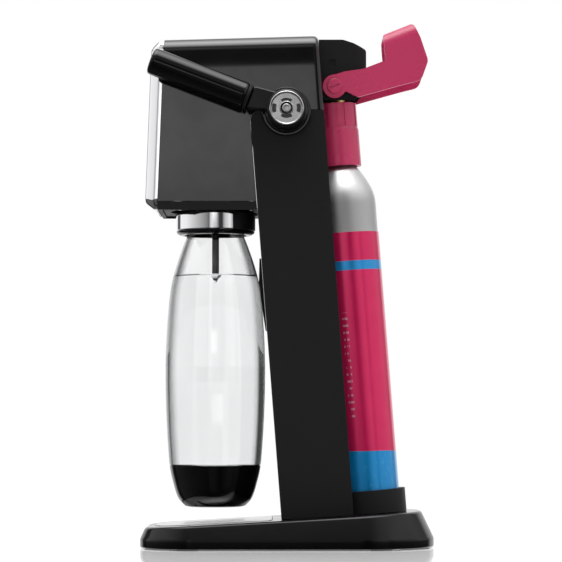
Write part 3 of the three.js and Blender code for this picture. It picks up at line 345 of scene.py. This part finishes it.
def across(name, outline, y0, y1):
    """A front-view outline (X, Z) extruded along Y."""
    return loft(name, [[(x, y, z) for x, z in outline] for y in (y0, y1)])


def combine(target, tool, operation="DIFFERENCE"):
    """Cut or join with another shape, which is used up."""
    modifier = target.modifiers.new("cut", "BOOLEAN")
    modifier.object, modifier.operation, modifier.solver = tool, operation, "EXACT"
    bpy.context.view_layer.update()
    evaluated = target.evaluated_get(bpy.context.evaluated_depsgraph_get())
    mesh = bpy.data.meshes.new_from_object(evaluated)
    target.modifiers.clear()
    target.data = mesh
    bpy.data.objects.remove(tool)
    return target


def dress(made, body, look, stands_for=(), bevel=0.0, segments=3, angle=38.0):
    """Finish a piece: smooth normals, soft edges, its material and body; the CAD parts it stands for are
    hidden.
    """
    mesh = made.data
    mesh.materials.clear()
    mesh.materials.append(look)
    for polygon in mesh.polygons:
        polygon.use_smooth = True
    mesh.set_sharp_from_angle(angle=math.radians(angle))
    if bevel:
        edges = made.modifiers.new("edges", "BEVEL")
        edges.width, edges.segments = bevel * MM, segments
        edges.limit_method, edges.angle_limit = "ANGLE", math.radians(angle)
        edges.miter_outer = "MITER_ARC"
        edges.harden_normals = False
    normals = made.modifiers.new("normals", "WEIGHTED_NORMAL")
    normals.keep_sharp, normals.weight = not bevel, 100
    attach(made, body)
    if stands_for:
        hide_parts(*stands_for)
    return made


def keep(node, look, bevel=0.0, segments=2, angle=35.0):
    """A CAD node that stays, with its material and soft edges."""
    made = nodes[node]
    made.data.materials.clear()
    made.data.materials.append(look)
    for polygon in made.data.polygons:
        polygon.use_smooth = True
    weld = made.modifiers.new("weld", "WELD")
    weld.merge_threshold = 1e-6
    made.data.set_sharp_from_angle(angle=math.radians(angle))
    if bevel:
        edges = made.modifiers.new("edges", "BEVEL")
        edges.width, edges.segments = bevel * MM, segments
        edges.limit_method, edges.angle_limit = "ANGLE", math.radians(angle)
    normals = made.modifiers.new("normals", "WEIGHTED_NORMAL")
    normals.keep_sharp = not bevel
    return made


def along_x(y=0.0, z=0.0, x=0.0):
    """The frame of a turned piece laid along X."""
    return Matrix.Translation((x, y, z)) @ Matrix.Rotation(math.pi / 2, 4, "Y")


# ------------------------------------------------------------------ camera and studio

CAMERA_PLACE = (2.150, -0.00558, 0.105)
CAMERA_RISE = math.radians(3.235)                        # it looks up a little, in place of a lens shift
FOCAL_LENGTH = 161.0
GROUND_HALF = 15000


def studio():
    scene = bpy.context.scene
    scene.view_settings.view_transform = "Standard"
    scene.view_settings.look = "None"
    lens = bpy.data.cameras.new("camera")
    lens.sensor_width, lens.lens = 36.0, FOCAL_LENGTH
    lens.clip_end = 50
    camera = bpy.data.objects.new("camera", lens)
    camera.location = CAMERA_PLACE
    camera.rotation_euler = (math.pi / 2 + CAMERA_RISE, 0, math.pi / 2)
    scene.collection.objects.link(camera)
    scene.camera = camera

    world = bpy.data.worlds.new("studio")
    scene.world = world
    world.use_nodes = True
    nt = Nodes(world.node_tree)
    ground = world.node_tree.nodes["Background"]
    direction = nt.add("ShaderNodeTexCoord").outputs["Generated"]
    split = nt.add("ShaderNodeSeparateXYZ", {0: direction})
    x, y, z = split.outputs
    turn = nt.math("MULTIPLY", nt.math("ARCTAN2", y, x), 180 / math.pi)
    lift = nt.math("MULTIPLY", nt.math("ARCSINE", z), 180 / math.pi)

    def window(value, a, b, c, d):
        return nt.math("MULTIPLY", nt.ramp(value, a, b), nt.ramp(value, d, c))

    def band(value, edges, strengths):
        """Light that changes from one edge to the next, in straight steps."""
        made = strengths[0]
        for low, high, before, after in zip(edges, edges[1:], strengths, strengths[1:]):
            made = nt.math("ADD", nt.ramp(value, low, high, False, 0.0, after - before), made)
        return made

    # light by direction, in degrees from the camera's side: not an even light, but bright and dark stretches
    # chosen so that the black gloss reflects much as it does in the photograph
    turns = (-180, -144, -138, -124, -119, -92, -66, -25, -17, -14, -11, -5, 3, 9, 12, 21, 24, 30, 44, 49,
             53, 60, 110, 134, 140, 180)
    strengths = (1.05, 1.05, 0.08, 0.14, 1.05, 1.0, 0.70, 0.28, 0.14, 0.60, 0.90, 0.62, 0.45, 0.24, 0.05,
                 0.035, 0.30, 0.62, 0.95, 0.6, 0.4, 0.8, 0.8, 0.25, 1.05, 1.05)
    around = band(turn, turns, strengths)
    lifts = (-90, -1.5, 2, 4.6, 5.1, 8.4, 9.4, 24, 40, 50)
    front = band(lift, lifts, (0.1, 0.15, 1.0, 1.0, 3.0, 3.0, 0.12, 0.12, 1.0, 1.0))
    facing = window(turn, -9, -6, 5, 8)
    level = nt.ramp(lift, -3, 1, True, 0.12, 1.0)
    behind = nt.ramp(x, -0.6, -0.75)
    around = nt.math("MULTIPLY", around, nt.math("ADD", nt.math("MULTIPLY", facing, front),
                                                 nt.math("MULTIPLY", nt.math("SUBTRACT", 1.0, facing),
                                                         nt.math("MAXIMUM", level, behind))))
    around = nt.math("MULTIPLY", around, nt.ramp(lift, 46, 36))
    above = band(lift, (22, 42, 56, 64, 80, 90), (0.0, 0.9, 2.3, 4.8, 7.6, 9.4))
    backward = nt.ramp(x, 0.3, -0.5, True, 1.0, 0.5)
    ahead = nt.math("MULTIPLY", window(turn, -64, -20, 20, 64), nt.ramp(lift, 56, 50))
    above = nt.math("MULTIPLY", above, nt.math("MULTIPLY_ADD", ahead, -0.72, 1.0))
    total = nt.math("ADD", around, nt.math("MULTIPLY", above, backward))
    nt.put(total, ground.inputs["Strength"])
    ground.inputs["Color"].default_value = (1, 1, 1, 1)

    # a pale surround that only the camera sees, and a pale floor that reflections on the object leave out
    bpy.ops.mesh.primitive_uv_sphere_add(segments=48, ring_count=24, radius=20)
    dome = bpy.context.object
    dome.name = "surround"
    pale = bpy.data.materials.new("surround")
    pale.use_nodes = True
    pale.node_tree.nodes.clear()
    glow = pale.node_tree.nodes.new("ShaderNodeEmission")
    glow.inputs["Strength"].default_value = 1.0
    out = pale.node_tree.nodes.new("ShaderNodeOutputMaterial")
    pale.node_tree.links.new(glow.outputs[0], out.inputs[0])
    dome.data.materials.append(pale)
    dome.visible_diffuse = dome.visible_glossy = dome.visible_transmission = False
    dome.visible_volume_scatter = dome.visible_shadow = False
    corners = [(x * GROUND_HALF, y * GROUND_HALF, 0) for x, y in ((-1, -1), (1, -1), (1, 1), (-1, 1))]
    floor = shape("floor", corners, [(0, 1, 2, 3)])
    ground_look, gt, shader = material("floor", (0.9, 0.9, 0.9, 1.0), 0.05, IOR=1.6)
    gt.put(gt.ramp(gt.noise(3.0), 0.3, 0.7, True, 0.045, 0.06), shader.inputs["Roughness"])
    shader.inputs["Emission Color"].default_value = (1, 1, 1, 1)
    shader.inputs["Emission Strength"].default_value = 0.05
    # away from the object the floor turns into a plain white ground
    spot = gt.add("ShaderNodeSeparateXYZ", {0: gt.add("ShaderNodeTexCoord").outputs["Object"]})
    squares = [gt.math("POWER", spot.outputs[i], 2.0) for i in (0, 1)]
    far = gt.math("SQRT", gt.math("ADD", *squares))
    white = gt.add("ShaderNodeEmission", {"Strength": 1.0})
    both = gt.add("ShaderNodeMixShader", {0: gt.ramp(far, 0.34, 0.95), 1: shader.outputs[0],
                                          2: white.outputs[0]})
    gt.put(both.outputs[0], ground_look.node_tree.nodes["Material Output"].inputs["Surface"])
    floor.data.materials.append(ground_look)
    floor.visible_glossy = False


studio()

# ------------------------------------------------------------------ every node's plain dress

LOOKS = {"gloss_black": gloss_black, "satin_black": satin_black, "inner_black": inner_black, "chrome": chrome,
         "steel": steel, "aluminium": aluminium, "brass": brass, "pink": pink, "label_pink": label_print,
         "rubber": rubber, "clear_bottle": bottle_plastic}
for row in frame["record"]["subparts"]:
    keep(row["node"], LOOKS[row["material_slot"]], 0.22)


# ------------------------------------------------------------------ shared lines, as the CAD has them

DECK_HEIGHT, DECK_SLOPE = 24.7, 0.056
COLUMN_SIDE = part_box("column_shell")[1].x / MM
COLUMN_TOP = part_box("column_shell")[1].z / MM
FOOT_FRONT, FOOT_REAR = -5.2, 55.0                       # the column's edges where it meets the deck
TOP_FRONT, TOP_REAR = -31.8, 30.6                        # and at its top
HEAD_LOW, HEAD_HIGH, HEAD_HIGH_REAR = 283.8, 429.2, 432.4
HEAD_LOW_FRONT, HEAD_HIGH_FRONT, HEAD_REAR = -109.5, -104.1, 25.6
TILT = math.radians(4.4)
BOTTLE_Y = (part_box("collar_ring")[0].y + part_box("collar_ring")[1].y) / 2 / MM
HUB = (-1.0, 366.4)
CYLINDER_FOOT, VALVE_Y, VALVE_Z = 34, 38.6, 392          # the tilted cylinder hangs under its valve
CYLINDER_Y = VALVE_Y + (VALVE_Z - CYLINDER_FOOT) * math.tan(TILT)
CYLINDER = Matrix.Translation((0, CYLINDER_Y, CYLINDER_FOOT)) @ Matrix.Rotation(TILT, 4, "X")
BOTTLE = Matrix.Translation((0, BOTTLE_Y, 0))


def deck(y):
    return DECK_HEIGHT + DECK_SLOPE * y


COLUMN_FOOT = deck(FOOT_FRONT)


def column_front(z):
    return FOOT_FRONT + (z - COLUMN_FOOT) * (TOP_FRONT - FOOT_FRONT) / (COLUMN_TOP - COLUMN_FOOT)


def column_rear(z):
    return FOOT_REAR + (z - COLUMN_FOOT) * (TOP_REAR - FOOT_REAR) / (COLUMN_TOP - COLUMN_FOOT)


def head_front(z):
    return HEAD_LOW_FRONT + (z - HEAD_LOW) * (HEAD_HIGH_FRONT - HEAD_LOW_FRONT) / (HEAD_HIGH - HEAD_LOW)


def head_top(y):
    return HEAD_HIGH + (y - HEAD_HIGH_FRONT) * (HEAD_HIGH_REAR - HEAD_HIGH) / (HEAD_REAR - HEAD_HIGH_FRONT)


# ------------------------------------------------------------------ base and tray

BASE_SIDE, BASE_END = 76, 124
BASE_FRONT_CORNER, BASE_REAR_CORNER = 46, 66
TRAY_SIDE, TRAY_FRONT, TRAY_REAR = 50, -112, -13
TRAY_FRONT_CORNER, TRAY_REAR_CORNER = 36, 9


def base_plan(depth, steps=20):
    side, end = BASE_SIDE - depth, BASE_END - depth
    front, rear = BASE_FRONT_CORNER - depth, BASE_REAR_CORNER - depth
    return rounded([(side, -end, front), (side, end, rear), (-side, end, rear), (-side, -end, front)], steps)


def tray_plan(depth, steps=20):
    side, front, rear = TRAY_SIDE - depth, TRAY_FRONT + depth, TRAY_REAR - depth
    fore, aft = TRAY_FRONT_CORNER - depth, TRAY_REAR_CORNER - depth
    return rounded([(side, front, fore), (side, rear, aft), (-side, rear, aft), (-side, front, fore)], steps)


def base_ring(depth_at, height_at):
    outer = base_plan(0)
    found = []
    for i, (x, y) in enumerate(outer):
        mx, my = base_plan(depth_at(y))[i]
        found.append((mx, my, height_at(my)))
    return found


def build_base():
    edge, draft, skirt = 1.9, 0.47, 8.5

    def lean(y):
        return (deck(y) - skirt) * draft

    rings = [base_ring(lambda y: 3.2, lambda y: 4.7), base_ring(lambda y: 3.2, lambda y: 1.4),
             base_ring(lambda y: 2.6, lambda y: 1.0), base_ring(lambda y: 1.0, lambda y: 1.0),
             base_ring(lambda y: 0.3, lambda y: 1.35), base_ring(lambda y: 0.0, lambda y: 2.2),
             base_ring(lambda y: 0.0, lambda y: skirt - 1.2),
             base_ring(lambda y: 0.06, lambda y: skirt - 0.4),
             base_ring(lambda y: 0.3, lambda y: skirt + 0.5)]
    for share in (0.3, 0.6):
        rings.append(base_ring(lambda y: lean(y) * share, lambda y: skirt + (deck(y) - skirt) * share))
    rings.append(base_ring(lambda y: lean(y) - edge * draft, lambda y: deck(y) - edge))
    for k in range(1, 6):
        a = k / 5 * math.pi / 2
        drop, draw = edge * (1 - math.sin(a)), edge * (1 - math.cos(a))
        rings.append(base_ring(lambda y: lean(y) - draft * drop + draw, lambda y: deck(y) - drop))
    rings.append(base_ring(lambda y: lean(y) + edge + 3.5, deck))
    for depth, drop in ((-0.5, 0.0), (-0.15, 0.12), (0.0, 0.5), (0.0, 6.85)):
        rings.append([(x, y, deck(y) - drop) for x, y in tray_plan(depth)])
    made = loft("base_body", rings)
    return dress(made, "root", base_gloss, ["base_shell"], angle=50)


# ------------------------------------------------------------------ column

def column_outline(grow, corner=9.0):
    top = COLUMN_TOP + grow
    gap = 0.3
    foot = COLUMN_FOOT + gap
    return rounded([(column_front(foot) - grow, foot), (FOOT_REAR + grow, deck(FOOT_REAR) + gap),
                    (column_rear(top) + grow, top), (column_front(top) - grow, top, corner)])


def hub_hole():
    return lathe("hole", [(0, 20), (7.1, 20), (7.1, 70), (0, 70)], along_x(*HUB), 64)


def build_column():
    side, wall, over = COLUMN_SIDE, 3.0, COLUMN_TOP + 60
    body = slab("column_body", column_outline(0), -side, side)
    front = [(column_front(0) + wall, 0), (200, 0), (200, over), (column_front(over) + wall, over)]
    combine(body, slab("cut", front, -side + wall, side - wall))
    under_head = HEAD_LOW + 0.3
    mouth = [(-80, under_head), (0, under_head), (0, over), (-80, over)]
    combine(body, slab("cut", mouth, -side + wall, side - wall))
    combine(body, hub_hole())
    return dress(body, "root", satin_black, ["column_shell"], bevel=0.9, segments=4)


# ------------------------------------------------------------------ head

HEAD_FLOOR = 291.2


def head_section(y_share, depth):
    """One ring of the head's skin, from its front (0) to its rear (1), drawn in by a depth."""
    side = COLUMN_SIDE - depth
    half = [(side, 0.0)]
    for k in range(9):                                   # the side leans in slightly near the top
        t = k / 8
        half.append((side - 0.55 * t * t, -27 + t * 13))
    centre_x, centre_z, r = side - 13.5, -13.5, 12.95
    for k in range(1, 17):
        a = k / 16 * math.pi / 2
        half.append((centre_x + r * math.cos(a) ** 0.96, centre_z + (13.5 - depth) * math.sin(a) ** 0.96))
    ring = half + [(-x, z) for x, z in reversed(half)]
    front, rear = head_front(HEAD_FLOOR), column_rear(HEAD_FLOOR)
    top = head_top(front + (rear - front) * y_share)
    found = []
    for i, (x, z) in enumerate(ring):
        height = HEAD_FLOOR if i in (0, len(ring) - 1) else top + z
        found.append((x, head_front(height) * (1 - y_share) + column_rear(height) * y_share, height))
    return found


def build_head():
    shares = [0, 0.02, 0.1, 0.25, 0.4, 0.55, 0.7, 0.85, 0.955]
    rings = [head_section(s, 0) for s in shares]
    length = column_rear(HEAD_FLOOR) - head_front(HEAD_FLOOR)
    rounding = 5.0
    for k in range(1, 7):                                # the rear edge is rounded
        a = k / 6 * math.pi / 2
        share, drawn = 1 - rounding * (1 - math.sin(a)) / length, rounding * (1 - math.cos(a)) * 0.75
        rings.append(head_section(share, drawn))
    body = loft("head_body", rings)
    combine(body, slab("cut", column_outline(0.5, 9.4), -80, 80))
    combine(body, slab("cut", [(10, 340), (80, 340), (80, 426), (10, 426)], -21.3, 21.3))
    combine(body, slab("cut", [(-140, 280), (22, 280), (18, 426), (-140, 423)], -43.5, 43.5))
    combine(body, hub_hole())
    return dress(body, "root", side_black, ["head_shell"], bevel=0.45, segments=3, angle=50)


def build_face():
    """The bright frame round the front and the panel inside it, on the leaning face."""
    back, up = HEAD_HIGH_FRONT - HEAD_LOW_FRONT, HEAD_HIGH - HEAD_LOW
    place = Matrix.Translation((0, HEAD_LOW_FRONT, HEAD_LOW))
    place = place @ Matrix.Rotation(math.pi / 2 - math.atan2(back, up), 4, "X")
    height = math.hypot(back, up)

    def ring(side, low, high, corner, z, steps=10):
        half, top = COLUMN_SIDE - side, height - high
        outline = rounded([(-half, low, corner), (half, low, corner), (half, top, corner),
                           (-half, top, corner)], steps)
        return [place @ Vector((x, y, z)) for x, y in outline]

    rings = [ring(0.6, 0.6, 0.6, 9, 0.3), ring(0.6, 0.6, 0.6, 9, 0.7), ring(0, 0, 0, 9.5, 0.9),
             ring(0, 0, 0, 9.5, 3.0), ring(0.3, 0.25, 0.35, 9.2, 3.7)]
    for t in (0.2, 0.4, 0.6, 0.74):
        rings.append(ring(7 * t, 5.8 * t, 8 * t, 9 - 4 * t, 3.4 + 7.6 * t + 0.15 * math.sin(math.pi * t)))
    for k in range(1, 8):                                # a full rounding into the narrow front border
        t = k / 7
        inward = (1 - t) ** 2 * 5.2 + 2 * t * (1 - t) * 7.1 + t * t * 9.0
        depth = 11 - 1.95 * (1 - t) ** 2
        rings.append(ring(inward, inward - 1.2 * min(1, inward / 7), inward + 1, 6.2 - 2.6 * t, depth))
    rings += [ring(9.6, 8.4, 10.6, 3.4, 10.95),
              ring(10, 8.8, 11, 3, 10.7), ring(10, 8.8, 11, 3, 0.3), ring(0.6, 0.6, 0.6, 9, 0.3)]
    bezel = loft("bezel", rings, False, False)
    dress(bezel, "root", chrome, ["bezel_frame"], angle=34)
    panel = loft("face_panel", [ring(10.3, 9.1, 11.3, 3, 6.8), ring(10.3, 9.1, 11.3, 3, 9.2),
                                ring(10.8, 9.6, 11.8, 2.8, 9.75), ring(11.6, 10.4, 12.6, 2.4, 9.8)])
    dress(panel, "root", gloss_black, ["front_panel"], angle=50)


# ------------------------------------------------------------------ lever

def build_lever():
    hub_at = along_x(*HUB)
    step = [(7.1, 47.4), (20.7, 47.4), (20.7, 50.9), (20.1, 51.5), (18.4, 51.5, 0.2), (18.4, 51.2, 0.2),
            (18, 51.2, 0.2), (18, 54.8), (17.2, 55.6), (16.9, 55.6), (7.1, 55.6)]
    boss = lathe("boss", soften(step, 0.5), hub_at, 128, True)
    dress(boss, "root", gloss_black, ["lever_boss"])
    plate = [(5.1, 71), (14.5, 71), (14.5, 74.2), (13.9, 75), (13.3, 75), (12.8, 74.2), (12.5, 73.9),
             (5.8, 73.9), (5.4, 74.3), (5.1, 74.3)]
    disc = lathe("hub_plate", soften(plate, 0.3), hub_at, 128, True)

    def arc_block(name, radius, width, turn, spread, low, high):
        arc = [turn - spread + 2 * spread * k / 14 for k in range(15)]
        ring = [((radius + width) * math.cos(a), (radius + width) * math.sin(a)) for a in arc]
        ring += [((radius - width) * math.cos(a), (radius - width) * math.sin(a)) for a in reversed(arc)]
        return loft(name, [[hub_at @ Vector((x, y, z)) for x, y in ring] for z in (low, high)])

    slot_shade_floors = None                                        # painted shade: dark floors put in the slots, joined into one piece
    for radius, turn, spread, width in ((7.1, 0, 0.62, 1.3), (7.1, math.pi, 0.62, 1.3),
                                        (10.3, math.pi / 2, 0.34, 1.65), (10.3, -math.pi / 2, 0.34, 1.65)):
        combine(disc, arc_block("cut", radius, width, turn, spread, 72.6, 77))
        # a dark pad at the foot of each slot, painted shade
        pad = arc_block("hub_slot_shade", radius, width - 0.05, turn, spread, 72.5, 73.6)
        slot_shade_floors = combine(slot_shade_floors, pad, "UNION") if slot_shade_floors else pad
    dress(disc, "lever", hub_metal, ["hub_disc"], bevel=0.14, segments=2, angle=40)
    dress(slot_shade_floors, "lever", gloss_black)
    bolt = [(0, 70), (3, 70), (3, 70.8), (4, 71.2), (4, 73.9), (3.3, 74.7), (0, 74.7)]
    screw = lathe("hub_bolt", soften(bolt, 0.3), hub_at, 64)
    hexagon = [(1.75 * math.cos(k * math.pi / 3), 1.75 * math.sin(k * math.pi / 3)) for k in range(6)]
    combine(screw, loft("cut", [[hub_at @ Vector((x, y, z)) for x, y in hexagon] for z in (73.2, 77)]))
    dress(screw, "lever", steel, ["hub_screw"], bevel=0.1, segments=2)

    arm_x, root_y, root_z = 62, -34.9, 377.3
    near, far = Vector((arm_x, root_y, root_z)), Vector((arm_x, -114.6, 407.9))
    length = (far - near).length
    rise = math.atan2(far.z - near.z, near.y - far.y)
    grip_at = Matrix.Translation(near) @ Matrix.Rotation(math.pi / 2 - rise, 4, "X")
    r = 11.5
    profile = [(0, 0), (r - 1.6, 0), (r - 0.6, 0.5, 0.4), (r - 0.2, 1.6), (r, 3), (r, length * 0.5),
               (r, length - 3.6), (r - 0.5, length - 1.3),
               (r - 2, length - 0.3), (r - 4.5, length), (0, length)]
    grip = lathe("grip", soften(profile, 0.8), grip_at, 96)
    dress(grip, "lever", grip_black, ["lever_grip"])
    collar = [(0, -3), (r - 1.2, -3), (r - 0.6, -2.4), (r - 0.6, -1.9), (r - 1.1, -1.6, 0.1),
              (r - 0.6, -1.3), (r - 0.6, -0.7), (r - 1, -0.3), (0, -0.3)]
    ring = lathe("grip_collar", soften(collar, 0.25), grip_at, 96)
    dress(ring, "lever", satin_black, ["grip_ring"])

    start = Vector((root_y - HUB[0], root_z - HUB[1]))
    along = Vector((far.y - near.y, far.z - near.z)).normalized()
    side = Vector((-along.y, along.x))
    upper = start - side * 10.5 - along * 3.3
    lower = start + side * 10.5 - along * 3.3
    outline = rounded([(*upper, 3), (*lower, 3), (-15, -1.2, 10), (-4, -12), (0, 12)], 8)
    outline = [(y + HUB[0], z + HUB[1]) for y, z in outline]
    if sum(a[0] * b[1] - b[0] * a[1] for a, b in zip(outline, outline[1:] + outline[:1])) < 0:
        outline.reverse()
    blade = slab("arm", outline, arm_x - 6, arm_x + 6, 1.8, 6)
    barrel = [(0, 56.2), (16.0, 56.2), (16.4, 56.7), (16.4, 69.6), (15.4, 70.6), (0, 70.6)]
    combine(blade, lathe("cut", soften(barrel, 0.7), hub_at, 96), "UNION")
    bore = [(0, 20), (5.3, 20), (5.3, 69.3), (3.4, 69.3), (3.4, 90), (0, 90)]
    combine(blade, lathe("cut", bore, hub_at, 48))
    dress(blade, "lever", arm_black, ["lever_arm"], angle=32)


# ------------------------------------------------------------------ bottle and its holder

def spline(points, steps=8):
    """A smooth open curve through (radius, height) points."""
    found = []
    for i in range(len(points) - 1):
        p = [Vector(points[max(0, min(len(points) - 1, i + k))]) for k in (-1, 0, 1, 2)]
        for k in range(steps):
            t = k / steps
            square = 2 * p[0] - 5 * p[1] + 4 * p[2] - p[3]
            cube = 3 * p[1] - p[0] - 3 * p[2] + p[3]
            found.append(tuple(0.5 * (2 * p[1] + (p[2] - p[0]) * t + square * t ** 2 + cube * t ** 3)))
    found.append(tuple(points[-1]))
    return found


BOTTLE_SIDE = [(25, 34.2), (31.6, 41.6), (36, 55), (38.9, 69), (40.6, 89.6), (41.7, 110), (42.4, 131),
               (42.6, 152), (42.1, 172), (41.1, 190), (39.9, 206), (38.2, 220), (36.4, 229), (33.2, 240.6),
               (29, 253), (25.6, 262), (21.6, 270.5)]


def side_between(low, high):
    """The bottle's side from one height to another."""
    curve = spline(BOTTLE_SIDE)
    found = []
    for (ra, za), (rb, zb) in zip(curve, curve[1:]):
        for edge in (low, high):
            if za < edge < zb:
                t = (edge - za) / (zb - za)
                found.append((ra + (rb - ra) * t, edge))
        if low < zb < high:
            found.append((rb, zb))
    return sorted(set(found), key=lambda p: p[1])


def build_bottle():
    wall, water_level = 1.1, 229.6
    boot_top, shoulder_top = 69.6, 270.4
    side = side_between(boot_top, shoulder_top)
    outer = [(0, 38), (20, 38), (27.4, 40.2), (31.5, 47), (34.5, 56), (36.6, 66), (37.0, 69.1)] + side
    neck = [(20.6, 273), (19.6, 276), (19, 279), (19, 291), (18.2, 292), (17.4, 292), (16.9, 291)]
    inside = [(17.6, 279), (18.3, 276), (19.4, 273)] + [(r - wall, z) for r, z in reversed(side)]
    inside += [(35.6, 66), (33.4, 56), (30.4, 47.6), (26.6, 42), (19, 39.4), (0, 39.2)]
    glass_body = lathe("bottle_clear", outer + neck + inside, BOTTLE, 128)
    dress(glass_body, "bottle", bottle_plastic, ["bottle_body"], angle=60)
    reach = 0.35                                         # how far the water stands into the wall
    lower = [(r + reach, z - (reach if z < 45 else 0)) for r, z in reversed(inside) if z < 67]
    lower[0] = (0, 38.8)
    upper = [(r - wall + reach, z) for r, z in side_between(boot_top, water_level)]
    top_radius = upper[-1][0]
    surface = [(top_radius - 0.12, water_level + 1.1), (top_radius - 0.4, water_level + 1.1),
               (top_radius - 0.7, water_level + 0.3), (top_radius - 1.4, water_level - 0.2),
               (top_radius - 3, water_level - 0.4), (0, water_level - 0.4)]
    fill = lathe("water", lower + upper + surface, BOTTLE, 128)
    dress(fill, "bottle", water_fill, angle=60)
    boot_out = side_between(34.3, 68.6)
    boot = [(0, 34.9), (16, 34.9), (17.4, 34.3), (22.6, 34.0), (25.4, 34.9)] + boot_out[1:]
    boot += [(38.7, 68.8), (38.3, 69), (37.4, 69), (37.3, 68.4)]
    boot += [(r - 1.5, z) for r, z in reversed(side_between(38, 66))] + [(26, 37.6), (0, 37.6)]
    made = lathe("bottle_foot", boot, BOTTLE, 128)
    dress(made, "bottle", gloss_black, ["bottle_boot"], angle=50)


def build_holder():
    ring = soften([(31.7, 269), (33.5, 269), (34.1, 269.6), (34.1, 284), (33.7, 284.6), (31.7, 284.6)], 0.35)
    dress(lathe("collar", ring, BOTTLE, 160, True), "bottle_holder", chrome, ["collar_ring"])
    lip = soften([(26.7, 265.3), (30.4, 265.3, 1.2), (32.8, 266.9, 1.6), (33.5, 268.3), (33.3, 268.7),
                  (26.7, 268.7)], 0.6)
    edge = lathe("collar_edge", lip, BOTTLE, 128, True)
    dress(edge, "bottle_holder", gloss_black, ["collar_lip"])
    tube = soften([(0, 230), (2.6, 230), (3, 230.4), (3, 305.8), (0, 305.8)], 0.3)
    dress(lathe("tube", tube, BOTTLE, 48), "bottle_holder", satin_black, ["nozzle_tube"])
    tip = soften([(0, 223), (1.0, 223.1), (1.5, 224.4), (2.9, 226.2), (3.3, 226.4, 0.1), (3.3, 226.9, 0.1),
                  (3.9, 227.6), (4, 229.3), (3.6, 229.7), (0, 229.7)], 0.25)
    dress(lathe("tip", tip, BOTTLE, 64), "bottle_holder", chrome, ["nozzle_tip"])


# ------------------------------------------------------------------ gas cylinder

def build_cylinder():
    skin = 29.3
    shoulder = spline([(skin, 255), (29.2, 261), (28.3, 266.4), (26.6, 271.4), (23.9, 277), (20.6, 282.6),
                       (17.8, 287), (15.8, 289.6), (15, 291.4)], 5)
    body = [(0, 1.2), (18, 1.2), (21, 0.2), (25.3, 0), (28.1, 1.2), (skin, 4), (skin, 30)] + shoulder
    body += [(15, 303), (8, 303), (8, 292), (0, 292)]
    made = lathe("gas_bottle", body, CYLINDER, 128)
    dress(made, "cylinder", aluminium, ["cylinder_body"], angle=50)
    label = [(29.5, 12), (29.86, 12), (30, 12.2), (30, 60), (30, 232.8), (29.86, 233), (29.5, 233)]
    made = lathe("sleeve", label, Matrix.Identity(4), 160, True)
    made.matrix_world = Matrix.Translation(CYLINDER.to_translation() * MM) @ CYLINDER.to_3x3().to_4x4()
    bpy.context.view_layer.update()
    dress(made, "cylinder", label_print, ["cylinder_label"], angle=50)


def build_sleeve():
    radius, low, step, high = 19.4, 291, 323, 345
    skin = [(radius - 2.6, low), (radius + 0.3, low, 0.3), (radius + 0.3, step - 1), (radius - 0.3, step + 1),
            (radius - 0.3, high, 0.5), (radius - 2.6, high)]
    body = lathe("valve_sleeve", soften(skin, 0.4), CYLINDER, 128, True)
    for k in range(8):                                   # shallow panels between the ribs
        turn, half = math.radians(17 + 45 * k), math.radians(9)
        plan = [(reach * math.cos(turn + side * half), reach * math.sin(turn + side * half))
                for reach, side in ((radius - 0.9, -1), (radius + 3, -1), (radius + 3, 1), (radius - 0.9, 1))]
        levels = (step + 2, high + 2)
        combine(body, loft("cut", [[CYLINDER @ Vector((x, y, z)) for x, y in plan] for z in levels]))
    dress(body, "cylinder", pink, ["cylinder_collar"], bevel=0.2, segments=2, angle=30)


# ------------------------------------------------------------------ the cylinder's handle

def build_bail():
    rise = math.radians(21.6)
    place = Matrix.Translation((0, 40, 391)) @ Matrix.Rotation(rise, 4, "X")
    outline = rounded([(0, 9.2), (12, 8.6, 4), (18, 7.2, 8), (28, 4.8, 8), (48.4, 4.6, 2), (54.9, 26.6, 3),
                       (82.4, 26.8, 4), (83.4, 12, 20), (82.2, -9, 8), (70.4, -22.4, 8), (54, -20.2, 30),
                       (15, -16.1, 1.5), (7.6, -7.8, 2), (0, -6)], 6)
    outline.reverse()
    body = slab("handle", outline, -26.3, 26.3)
    eye = [(0, -26.3), (10, -26.3), (10, 26.3), (0, 26.3)]
    combine(body, lathe("cut", eye, along_x(), 72), "UNION")

    def portal(half, top, corner):
        arch = rounded([(-half, -60), (half, -60), (half, top, corner), (-half, top, corner)], 14)
        return across("cut", arch, -40, 130)

    combine(body, portal(26.3, 26.8, 11), "INTERSECT")
    combine(body, portal(23.7, 23.4, 8.4))
    combine(body, lathe("cut", [(0, -60), (4.3, -60), (4.3, 60), (0, 60)], along_x(), 48))
    body.data.transform(Matrix.Scale(1 / MM, 4))
    body.data.transform(place)
    body.data.transform(Matrix.Scale(MM, 4))
    dress(body, "bail", pink, ["cylinder_bail"], bevel=0.6, segments=3, angle=40)


build_base()
build_column()
build_head()
build_face()
build_lever()
build_bottle()
build_holder()
build_cylinder()
build_sleeve()
build_bail()
